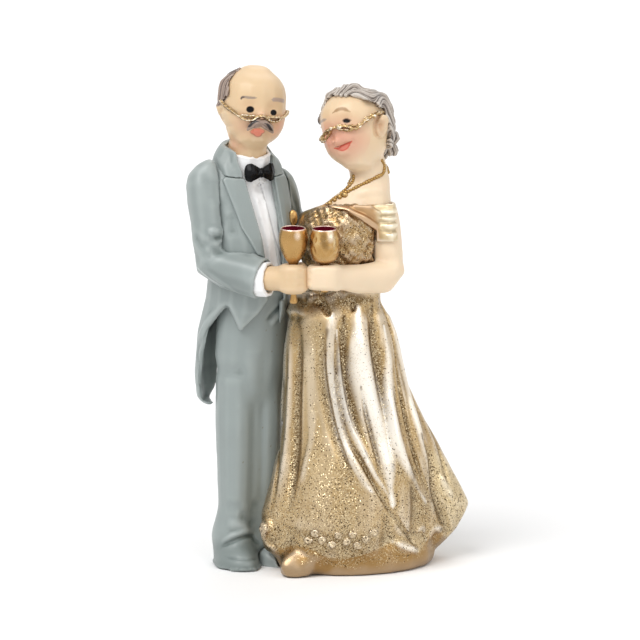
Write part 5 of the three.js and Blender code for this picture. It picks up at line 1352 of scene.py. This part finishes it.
class TOPPER_OT_skin(TopperOperator, bpy.types.Operator):
    """Model and paint the arms, the hands and the necklace"""

    bl_idname = "topper.skin"
    bl_label = "Arms, hands and necklace"

    def execute(self, context):
        voxel = sizes().skin_voxel
        arm = cast("bride_right_arm", "bride_right_hand", voxel=voxel * 1.3, round_off=0.7, close=0.4)
        # Fingers laid flat on the groom's back
        low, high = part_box("bride_right_hand")
        reach, height = high.x - low.x, high.z - low.z
        for share in (0.3, 0.5, 0.7):
            level = low.z + height * share
            line = [(low.x + reach * part, high.y, level) for part in (-0.02, 0.12, 0.26, 0.4, 0.5)]
            arm.stroke([np.array(arm.piece.closest_point_on_mesh(spot)[1]) for spot in line], 0.7, 0.3)
        arm.finish(skin_paint("bride"))

        # Beads run from behind her ear across the collar bone to the pendants at the neckline
        neck = bpy.data.objects["bride_head_cast"]
        chain = [(382, 160.7), (384.3, 166.4), (382.9, 173.6), (377, 177), (367, 182), (357, 187)]
        chain += [(348.6, 191.4), (342.9, 193.6), (337, 197), (331, 201), (325, 206)]
        far = [(353.6, 176.4), (352.9, 181.4), (347, 187.9), (341.4, 193.6)]
        ring = frame["nodes"]["bride_necklace"]
        places = np.array([ring.matrix_world @ vertex.co for vertex in ring.data.vertices])
        middle = places.mean(0)
        turns = np.degrees(np.arctan2(places[:, 1] - middle[1], places[:, 0] - middle[0]))
        slices = [places[np.abs(turns - turn) < 6] for turn in range(0, 181, 6)]
        back = [neck.closest_point_on_mesh(part.mean(0))[1] for part in slices if len(part)]
        strung = [evenly(path, 0.62) for path in (seen(neck, chain, 6), seen(neck, far, 4), back)]
        string = beads("bride_necklace_beads", sum(strung, []), 0.4)
        hung = ((340, 197), (335, 200), (330, 203.5), (345, 195), (326, 207))
        pendants = beads("bride_pendants", [seen(neck, [spot])[0] for spot in hung], 0.6)
        choose(string, pendants)
        bpy.ops.object.join()
        Clay(string, ["bride_necklace"]).finish(necklace_gold(), 3, 0.25)

        arm = cast("bride_left_arm", "bride_left_hand", voxel=voxel * 1.2, round_off=0.7, close=0.4)
        # The fist lies level with the forearm and meets the groom's
        across, down = on_picture(arm.points)
        stops = (300, 330, 340, 348, 360, 385, 397, 404)
        thick = np.interp(across, stops, (0.76, 0.76, 0.85, 1.05, 1.3, 1.25, 1.1, 1.0))
        arm.points[:, 2] -= (down - 275).clip(0) * (thick - 1) / PIXELS_PER_MM_UP * MM
        arm.write_points()
        arm.soften(34)
        arm.shift([(296, 255), (325, 255), (325, 315), (296, 315)], (-1.5, 0, 0), 16)
        arm.write_points()
        arm.stroke([(313, 270), (320, 271), (331, 270)], 0.9, 0.1)
        for line in ([(308, 273), (313, 274)], [(307, 280), (312, 281)], [(307, 287), (312, 288)]):
            arm.stroke(line, 0.6, 0.08)
        arm.finish(skin_paint("bride"))

        hand = cast("groom_right_hand", voxel=voxel * 1.2, round_off=0.7)
        hand.soften(26)
        hand.shift([(255, 282), (320, 282), (320, 320), (255, 320)], (0, 0, 0.35), 14)
        hand.write_points()
        for line in ([(297, 270), (304, 271)], [(297, 277.5), (304.5, 278.5)], [(297, 285), (304.5, 286)]):
            hand.stroke(line, 0.6, 0.08)
        hand.finish(skin_paint("groom"))
        cast("groom_left_hand", voxel=voxel * 1.2, round_off=0.7).finish(skin_paint("groom"))
        return {"FINISHED"}


# Lines of the gown's folds as the photograph shows them: how wide, how deep (ridges are below zero), how
# strong the painted highlight on a ridge or the painted shade in a valley is, and where
GOWN_FOLDS = (
    (2.6, 0.8, 0.75, (344, 316), (343, 350), (345, 380), (350, 410), (358, 436), (366, 456)),
    (2.6, 0.8, 0.5, (327, 330), (325, 362), (327, 390), (333, 418), (341, 443), (350, 468)),
    (2.4, 0.8, 0.8, (372, 306), (374, 340), (378, 370), (381, 394), (385, 422), (388, 446), (392, 470)),
    (
        3.6, -0.8, 0.95, (358, 308), (358, 340), (362, 370), (370, 400),
        (380, 430), (386, 460), (390, 490), (393, 504),
    ),
    (
        1.6, -0.7, 0.95, (333, 314), (329.5, 340), (330, 370), (335, 402),
        (342, 434), (352, 460), (364, 482), (372, 492),
    ),
    (
        1.9, -0.6, 0.9, (384, 326), (387, 354), (388, 380), (392, 410),
        (398, 442), (408, 470), (418, 490), (426, 502),
    ),
    (1.5, -0.5, 0.8, (388, 314), (396, 342), (402, 370), (408, 394), (416, 420), (422, 442), (430, 466)),
    (
        1.0, -0.35, 0.75, (337, 330), (339, 370), (344, 402), (351, 426),
        (362, 450), (374, 474), (386, 492), (393, 508),
    ),
    (
        0.7, 0.5, 0.6, (335, 334), (337, 380), (341, 410), (348, 438),
        (363, 464), (376, 488), (390, 512), (398, 526),
    ),
    (0.8, 0.45, 0.7, (361, 386), (366, 414), (372, 438), (378, 460), (382, 478)),
    (
        0.8, 0.5, 0.7, (378, 298), (388, 320), (394, 346), (398, 374), (402, 398),
        (406, 420), (412, 446), (420, 470), (428, 490), (432, 502),
    ),
    (1.8, 0.6, 0.6, (422, 434), (430, 460), (434, 490), (440, 510), (450, 536)),
    (1.8, 0.5, 0.3, (300, 320), (298, 390), (296, 450), (290, 510)),
    (1.6, -0.25, 0.0, (310, 330), (310, 370), (311, 410), (309, 440)),
    (1.4, -0.35, 0.0, (313.5, 408), (312, 438), (306, 464), (302, 486)),
    (1.4, -0.25, 0.0, (291, 330), (290, 380), (288, 420), (284, 460), (279, 500)),
    (1.0, 0.35, 0.6, (284, 380), (281, 430), (276, 480), (271, 515)),
    (3.4, 0.0, 0.5, (296, 300), (320, 303), (346, 300), (372, 300)),
    (2.2, -0.5, 0.0, (300, 300), (308, 294), (314, 302)),
    (2.2, -0.6, 0.0, (326, 302), (337, 292), (346, 300)),
    (1.2, 0.45, 0.4, (316, 300), (324, 306), (330, 316)),
    (1.0, 0.4, 0.5, (350, 296), (354, 303), (352, 312)),
    (1.6, -0.4, 0.5, (440, 474), (446, 488), (452, 500)),
    (1.3, -0.5, 0.7, (392, 541), (404, 547), (418, 551)),
    (1.3, -0.5, 0.5, (426, 540), (434, 529), (441, 531)),
    (0.9, 0.4, 0.5, (392, 512), (404, 530), (418, 548)),
    (0.9, -0.3, 0.4, (416, 532), (422, 528), (424, 534)),
    (4.0, 0.0, 0.3, (296, 530), (330, 548), (360, 550), (385, 540)),
    (6.0, 0.0, 0.25, (412, 470), (420, 500), (424, 530)),
    (5.0, 0.0, 0.25, (300, 306), (304, 330), (302, 360)),
    (1.0, -0.6, 0.0, (262, 522), (266, 528), (264, 536), (270, 545), (277, 551)),
)
# Below this line of the picture the hem is smooth
SMOOTH_HEM = [(270, 556), (279, 549), (292, 545.5), (307, 547), (318, 553), (328, 558), (340, 559)]
SMOOTH_HEM += [(360, 556), (380, 548), (391, 543), (404, 549), (419, 553), (427, 540), (434, 529)]
SMOOTH_HEM += [(440, 531), (447, 540), (460, 527), (476, 505), (500, 620), (260, 620)]
# Middles of the curls of cloth along the bottom
CURLS = [(308, 540), (315, 533), (322.5, 540), (332, 545), (338, 536)]
CURLS += [(346, 542), (352, 534.5), (357.5, 545), (366, 539), (374, 533)]


class TOPPER_OT_gown(TopperOperator, bpy.types.Operator):
    """Model and paint the gown's skirt and smooth hem, its bodice and drape and the toe of the shoe"""

    bl_idname = "topper.gown"
    bl_label = "Gown"

    def execute(self, context):
        c = colours()
        voxel = sizes().cloth_voxel * 1.18
        low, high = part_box("gown_underskirt")
        foot = ((low.x + high.x) / 2, (low.y + high.y) / 2, 0)
        # Copies of the skirt, each lower and narrower, fill the hollow under its hem down to the floor
        fills = []
        for lowered in (0.85, 0.7, 0.55, 0.4, 0.25, 0.1):
            narrow = 1 - 0.33 * ((1 - lowered) / 0.92) ** 1.4
            fills.append(stretched_copy("gown_skirt", (narrow, narrow, lowered), foot))
        nodes = ("gown_skirt", "gown_underskirt", "gown_bodice", "bride_shoe")
        gown = cast(*nodes, voxel=voxel, round_off=0.75, close=0.8, extra=fills, name="gown_cast")
        # The neckline drops below the chest, and the smooth hem runs out to the train
        across, down = on_picture(gown.points)
        edge_across = (290, 299, 308.6, 318.6, 328.6, 345)
        edge = np.interp(across, edge_across, (224.5, 219.5, 213.6, 208.6, 207.5, 205))
        over = (edge - down).clip(0) * np.interp(across, (352, 362), (1, 0))
        over *= gown.points[:, 2] > 62 * MM
        gown.points[:, 2] -= over * 0.9 / PIXELS_PER_MM_UP * MM
        gown.write_points()
        gown.soften(3, (gown.points[:, 2] > 74 * MM) * 1.0)
        gown.write_points()
        gown.swell((298, 557), 5, 0.5)
        gown.pull((289, 564), 3.2, (-1.1, -0.4, 0))
        gown.pull((312, 564), 4.0, (0.6, -1.3, 0.2))
        gown.pull((268, 530), 3.4, (-1.7, -1.2, 0.3))
        gown.shift([(285, 292), (306, 292), (304, 314), (285, 314)], (-1.1, 0, 0), 8)
        gown.write_points()
        for centre in CURLS:
            gown.swell(centre, 1.4, 0.3)
        gown.write_points()
        rope = []
        for turn, (across, down) in enumerate(CURLS):
            wide = 1 + 0.22 * math.sin(3.1 * turn)
            spiral = []
            for k in range(9):
                radius, angle = wide * (3.7 - 0.36 * k), turn + 0.95 * k
                spiral.append((across + radius * math.cos(angle), down + 0.84 * radius * math.sin(angle)))
            path = gown.here(spiral, 4)
            # Painted shade round each curl
            gown.brush(path, 1.3, c.gold_painted_shade, 0.7, 0.1, 0.8)
            rope += evenly(path, 0.3)
        # Folds down the back, which the photograph doesn't show
        for azimuth in range(96, 275, 22):
            for turn, width, depth in ((0, 1.5, 0.6), (10, 2.2, -0.45)):
                sway = 3 * math.sin(azimuth)
                line = [(sway, 56), (sway * 0.5, 40), (0, 24), (-sway, 11)]
                path = from_side(gown.piece, azimuth + turn, line)
                gown.stroke(path, width, depth, 0.25)
                # Painted shade in the valleys and painted highlights on the ridges
                shade, gloss = (c.gold_painted_shade, 0.0) if depth > 0 else (c.gold_painted_highlight, 0.5)
                gown.brush(path, width * 1.2, shade, 0.55, 0.3, 1.2, gloss)
            gown.write_points()
        for width, depth, painted_light, *line in GOWN_FOLDS:
            path = gown.here(line, 6)
            gown.stroke(path, width, depth * 1.3, 0.2)
            # Ridges get a painted highlight and valleys painted shade
            if painted_light:
                ridge = depth < 0
                shade, painted_light = (c.gold_painted_highlight, painted_light) if ridge else (c.gold_painted_shade, min(1.0, painted_light * 1.5))
                gown.brush(path, width * 1.3, shade, painted_light, 0.3, 1.1, 0.75 if ridge else 0.0)
            if width > 1.2:
                gown.write_points()
        gown.points[:, 2] = gown.points[:, 2].clip(0)
        height = gown.points[:, 2] / MM
        # The left of the skirt is a broad pale satin, the train gets a pale painted highlight for its
        # sparkle, and the ruffle by the boot is dark
        satin = [(303, 318), (324, 316), (327, 360), (327, 400), (336, 440), (340, 474), (322, 502)]
        satin += [(306, 500), (299, 430)]
        train = [(430, 450), (446, 458), (474, 495), (468, 520), (450, 538), (438, 500)]
        ruffle = [(255, 514), (274, 514), (284, 552), (266, 556)]
        gown.coat(gown.within(satin, 16) * 0.5, "C0A982", 0.25)
        gown.coat(gown.within(train, 10) * 0.45, "E2D0A6")
        gown.coat(gown.within(ruffle, 6) * 0.45, "7E5E30")
        # A painted highlight along the top of the shoe's toe
        gown.brush([(287, 556), (297, 552.5), (309, 556.5)], 1.3, c.gold_painted_highlight, 0.55, 0.3, 1.2)
        bodice = np.clip((height - 62) / 2, 0, 1)
        gown.crinkle(0.6, 0.13, np.clip((height - 61) / 2, 0, 1))
        gown.crinkle(1.5, 0.22, bodice, 2)
        gown.coat(bodice * 0.6, "8E6A38", 0.3)
        gown.coat(gown.within(SMOOTH_HEM) * (gown.points[:, 1] < 8 * MM) * 0.7, "8F6C3C", 1.0)
        gown.close(60, 0.3)
        rope = beads("gown_curls", rope, 0.32)
        remesh(rope, sizes().trim_voxel * 1.2)
        even_out(rope, 3)
        curls = Clay(rope, nodes)
        # A painted highlight over the curls
        curls.coat(0.25, c.gold_painted_highlight)
        curls.close(10, 0.1)
        choose(gown.piece, rope)
        bpy.ops.object.join()
        place(gown.piece, nodes, *gown_gold())

        drape = cast("gown_shoulder_drape", voxel=voxel * 0.6, round_off=0.45)
        across, _ = on_picture(drape.points)
        drape.points[:, 0] -= (across - 393).clip(0) * 0.5 / PIXELS_PER_MM * MM
        chest = [(280, 190), (323, 202), (331, 208.5), (347, 211), (357, 218), (367, 225), (376, 231)]
        drape.shift([*chest, (376, 260), (280, 260)], (0, 3.5, 0), 2.0, 2)
        drape.write_points()
        # Folds of the drape, with painted highlights on the ridges and painted shade in the valleys
        for width, depth, line in (
            (0.8, 0.35, [(375, 215), (388, 216.5), (399, 215)]),
            (0.8, 0.35, [(376, 220.5), (388, 222), (399, 220.5)]),
            (0.8, 0.35, [(380, 230), (390, 231.5), (399, 229)]),
            (1.0, -0.35, [(342, 208.5), (352, 212), (364, 217), (376, 225), (384, 231)]),
            (0.9, -0.3, [(331, 207), (347, 205), (364, 207), (380, 206.5), (396, 206)]),
            (1.2, 0.35, [(350, 208.5), (362, 212), (374, 219), (382, 226)]),
        ):
            drape.stroke(line, width, depth)
            drape.brush(line, width * 0.9, "E9D2A6" if depth < 0 else c.gold_painted_shade, 0.6, 0.3, 1.0)
        # A darker front band, and a painted sheen over the gathers at the arm
        front = [(322, 203), (374, 205), (378, 212), (380, 240), (322, 240)]
        painted_sheen = [(374, 203), (402, 203), (402, 244), (384, 240), (377, 220)]
        drape.coat(drape.within(front, 6) * 0.75, "BC946A")
        drape.coat(drape.within(painted_sheen, 6) * 0.5, "E6D4B0")
        # The gathers' ridges with painted highlights, then painted shade in the lines between them
        for line in (
            [(378, 211.5), (388, 212), (397, 211)],
            [(380, 218), (389, 219), (398, 218)],
            [(381, 225.5), (390, 226.5), (398, 225)],
            [(386, 235), (392, 236), (397, 234)],
        ):
            drape.stroke(line, 0.9, -0.1)
            drape.brush(line, 1.1, "FBF1DA", 0.55, 0.35, 1.6)
        for line in (
            [(379, 214.5), (389, 215.2), (397, 214)],
            [(381, 222), (390, 223), (398, 221.8)],
            [(383, 231), (391, 232), (398, 230)],
        ):
            drape.brush(line, 0.5, "8A6B3C", 0.6, 0.3, 1.2)
        drape.finish(plain_gold(), 20, 0.15)
        return {"FINISHED"}


# Radii and heights from the rim: the bowls' outsides, and the inside that both have
BOWLS = {
    "groom": (
        (2.62, 0), (2.9, -0.9), (3.15, -2.2), (3.05, -3.6),
        (2.65, -5.0), (2.05, -6.2), (1.45, -7.1), (0.8, -7.7),
    ),
    "bride": (
        (2.55, 0), (2.85, -0.7), (3.2, -2.0), (3.25, -3.6),
        (3.15, -5.0), (2.9, -6.2), (2.3, -7.0), (0.9, -7.6),
    ),
}
BOWL_INSIDE = ((0, -3.5), (1.4, -3.3), (2.5, -2.4), (2.75, -1.2), (2.42, -0.3), (2.44, -0.02), (2.52, 0.02))
WINE = ((0, -0.05), (1.6, -0.06), (2.3, -0.08), (2.44, -0.5), (2.4, -1.4), (0, -1.6))
# Radii and heights from the foot
STEM = ((0.62, 5.0), (0.6, 2.0), (0.75, 1.2), (0.95, 0.6), (0.8, 0.1), (0, 0))
GRIP_BELOW_RIM = 10
GOBLET_LEAN = 6


class TOPPER_OT_goblets(TopperOperator, bpy.types.Operator):
    """Model and paint the goblets and their wine"""

    bl_idname = "topper.goblets"
    bl_label = "Goblets"

    def execute(self, context):
        for who, outside in BOWLS.items():
            low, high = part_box(who + "_wine")
            foot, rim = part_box(who + "_goblet")
            x, y = (low.x + high.x) / 2, (low.y + high.y) / 2
            # Her fist hides the foot of the bride's goblet, so its stem ends inside
            top, end = rim.z / MM, foot.z / MM + (2.8 if who == "bride" else 0)
            profile = [(radius, top + height) for radius, height in (*BOWL_INSIDE, *outside)]
            profile += [(radius, end + height) for radius, height in STEM]
            goblet = Clay(lathe(who + "_goblet_cast", (x, y), profile), [who + "_goblet"])
            sixths = [(math.cos(k / 6), math.sin(k / 6)) for k in range(39)]
            ring = [np.array((x + 2.55 * MM * a, y + 2.55 * MM * b, top * MM)) for a, b in sixths]
            goblet.brush(ring, 0.4, "EBCFC4", 0.9, 0, 0.6)
            grip = (y, (top - GRIP_BELOW_RIM) * MM)
            goblet.lean(grip, GOBLET_LEAN)
            goblet.write_points()
            if who == "bride":
                # Hammered all round, with a few painted highlights and painted dark reflections
                dents = np.random.default_rng(4).uniform((0, -6.4), (math.tau, -1.0), (110, 2))
                for turn, height in dents:
                    away = (3.15 * math.cos(turn), 3.15 * math.sin(turn) - 1, top + height)
                    goblet.swell(np.array((x, y, 0)) + np.array(away) * MM, 0.8, -0.2)
                each(
                    goblet.spot,
                    ((331, 236), 0.7, 1.2, "F8EEDC", 0.6, 1.0),
                    ((323.5, 240), 0.6, 1.5, "6E5430", 0.6, 1.0),
                    ((326.5, 247), 0.7, 0.8, "7A5E36", 0.5, 1.0),
                    ((335.5, 243), 0.5, 1.2, "E9D5A8", 0.6, 1.0),
                    ((317, 239), 0.5, 1.6, "E2C68E", 0.5, 1.0),
                )
            else:
                goblet.crinkle(2.5, 0.04)
                # A painted highlight on the bowl
                goblet.spot((297.5, 236), 0.6, 0.8, "F8E8D8", 0.5, 1.0)
            goblet.finish(goblet_gold(), 20, 0.3)
            surface = lathe(who + "_wine_cast", (x, y), [(radius, top + height) for radius, height in WINE])
            wine = Clay(surface, [who + "_wine"])
            wine.lean(grip, GOBLET_LEAN)
            wine.finish(wine_paint())
        return {"FINISHED"}


class TOPPER_OT_stage(TopperOperator, bpy.types.Operator):
    """Set the floor, the lights and the photograph's camera"""

    bl_idname = "topper.stage"
    bl_label = "Stage"

    def execute(self, context):
        scene = context.scene
        choose(frame["nodes"]["gown_skirt"])
        bpy.ops.mesh.primitive_plane_add(size=14, location=(0, 0, 0))
        floor = context.object
        floor.name = "table_top"
        made, r, shader = material("white_table")
        grain = r.between(r.noise(60), 0.3, 0.7, 0.955, 0.975)
        r.feed(shader, "Base Color", r.grey(grain))
        shader.inputs["Roughness"].default_value = 0.9
        shader.inputs["Specular IOR Level"].default_value = 0.0
        floor.data.materials.append(made)
        for name, turn, lift, strength, angle in (
            ("key", -40, 50, 1.85, 40),
            ("fill", 48, 40, 0.75, 60),
            ("rim", 165, 55, 0.6, 40),
        ):
            bpy.ops.object.light_add(type="SUN", location=(0, 0, 1))
            lamp = context.object
            lamp.name = name
            lamp.data.energy = strength
            lamp.data.angle = math.radians(angle)
            lamp.rotation_euler = (math.radians(90 - lift), 0, math.radians(turn))
        world = bpy.data.worlds.new("white_room")
        scene.world = world
        world.use_nodes = True
        r = Recipe(world.node_tree)
        path = r.add("LightPath").outputs
        shown = r.sums("MAXIMUM", path["Is Camera Ray"], path["Is Glossy Ray"])
        shown = r.sums("MAXIMUM", shown, path["Is Transmission Ray"])
        back = world.node_tree.nodes["Background"]
        back.inputs["Color"].default_value = (1, 1, 1, 1)
        r.feed(back, "Strength", r.between(shown, 0, 1, 0.42, 1.0))
        bpy.ops.object.camera_add(location=sight(PICTURE / 2, PICTURE / 2)[0])
        camera = context.object
        camera.name = "photo_camera"
        camera.rotation_euler = (math.radians(90 - CAMERA_RISE), 0, 0)
        camera.data.sensor_width = SENSOR_WIDTH
        camera.data.lens = SENSOR_WIDTH * CAMERA_DISTANCE * PIXELS_PER_MM / PICTURE
        camera.data.clip_start = 0.01
        camera.data.clip_end = 20
        scene.camera = camera
        scene.view_settings.view_transform = "Standard"
        return {"FINISHED"}


PIECES = (
    TOPPER_OT_suit,
    TOPPER_OT_trousers,
    TOPPER_OT_linen,
    TOPPER_OT_trims,
    TOPPER_OT_groom_head,
    TOPPER_OT_bride_head,
    TOPPER_OT_skin,
    TOPPER_OT_gown,
    TOPPER_OT_goblets,
    TOPPER_OT_stage,
)


class TOPPER_PT_panel(bpy.types.Panel):
    """Lists the topper's pieces, colours and sizes"""

    bl_idname = "TOPPER_PT_panel"
    bl_label = "Cake topper"
    bl_space_type = "VIEW_3D"
    bl_region_type = "UI"
    bl_category = "Topper"

    def draw(self, context):
        for piece in PIECES:
            self.layout.operator(piece.bl_idname)
        for group in (context.scene.topper_colours, context.scene.topper_sizes):
            for name in group.bl_rna.properties.keys():
                if name not in ("rna_type", "name"):
                    self.layout.prop(group, name)


CLASSES = (TopperColours, TopperSizes, *PIECES, TOPPER_PT_panel)


def register():
    for kind in CLASSES:
        bpy.utils.register_class(kind)
    bpy.types.Scene.topper_colours = bpy.props.PointerProperty(type=TopperColours)
    bpy.types.Scene.topper_sizes = bpy.props.PointerProperty(type=TopperSizes)


def unregister():
    del bpy.types.Scene.topper_colours
    del bpy.types.Scene.topper_sizes
    for kind in reversed(CLASSES):
        bpy.utils.unregister_class(kind)


def main():
    register()
    bpy.ops.topper.suit()
    bpy.ops.topper.trousers()
    bpy.ops.topper.linen()
    bpy.ops.topper.trims()
    bpy.ops.topper.groom_head()
    bpy.ops.topper.bride_head()
    bpy.ops.topper.skin()
    bpy.ops.topper.gown()
    bpy.ops.topper.goblets()
    bpy.ops.topper.stage()


if __name__ == "__main__":
    main()
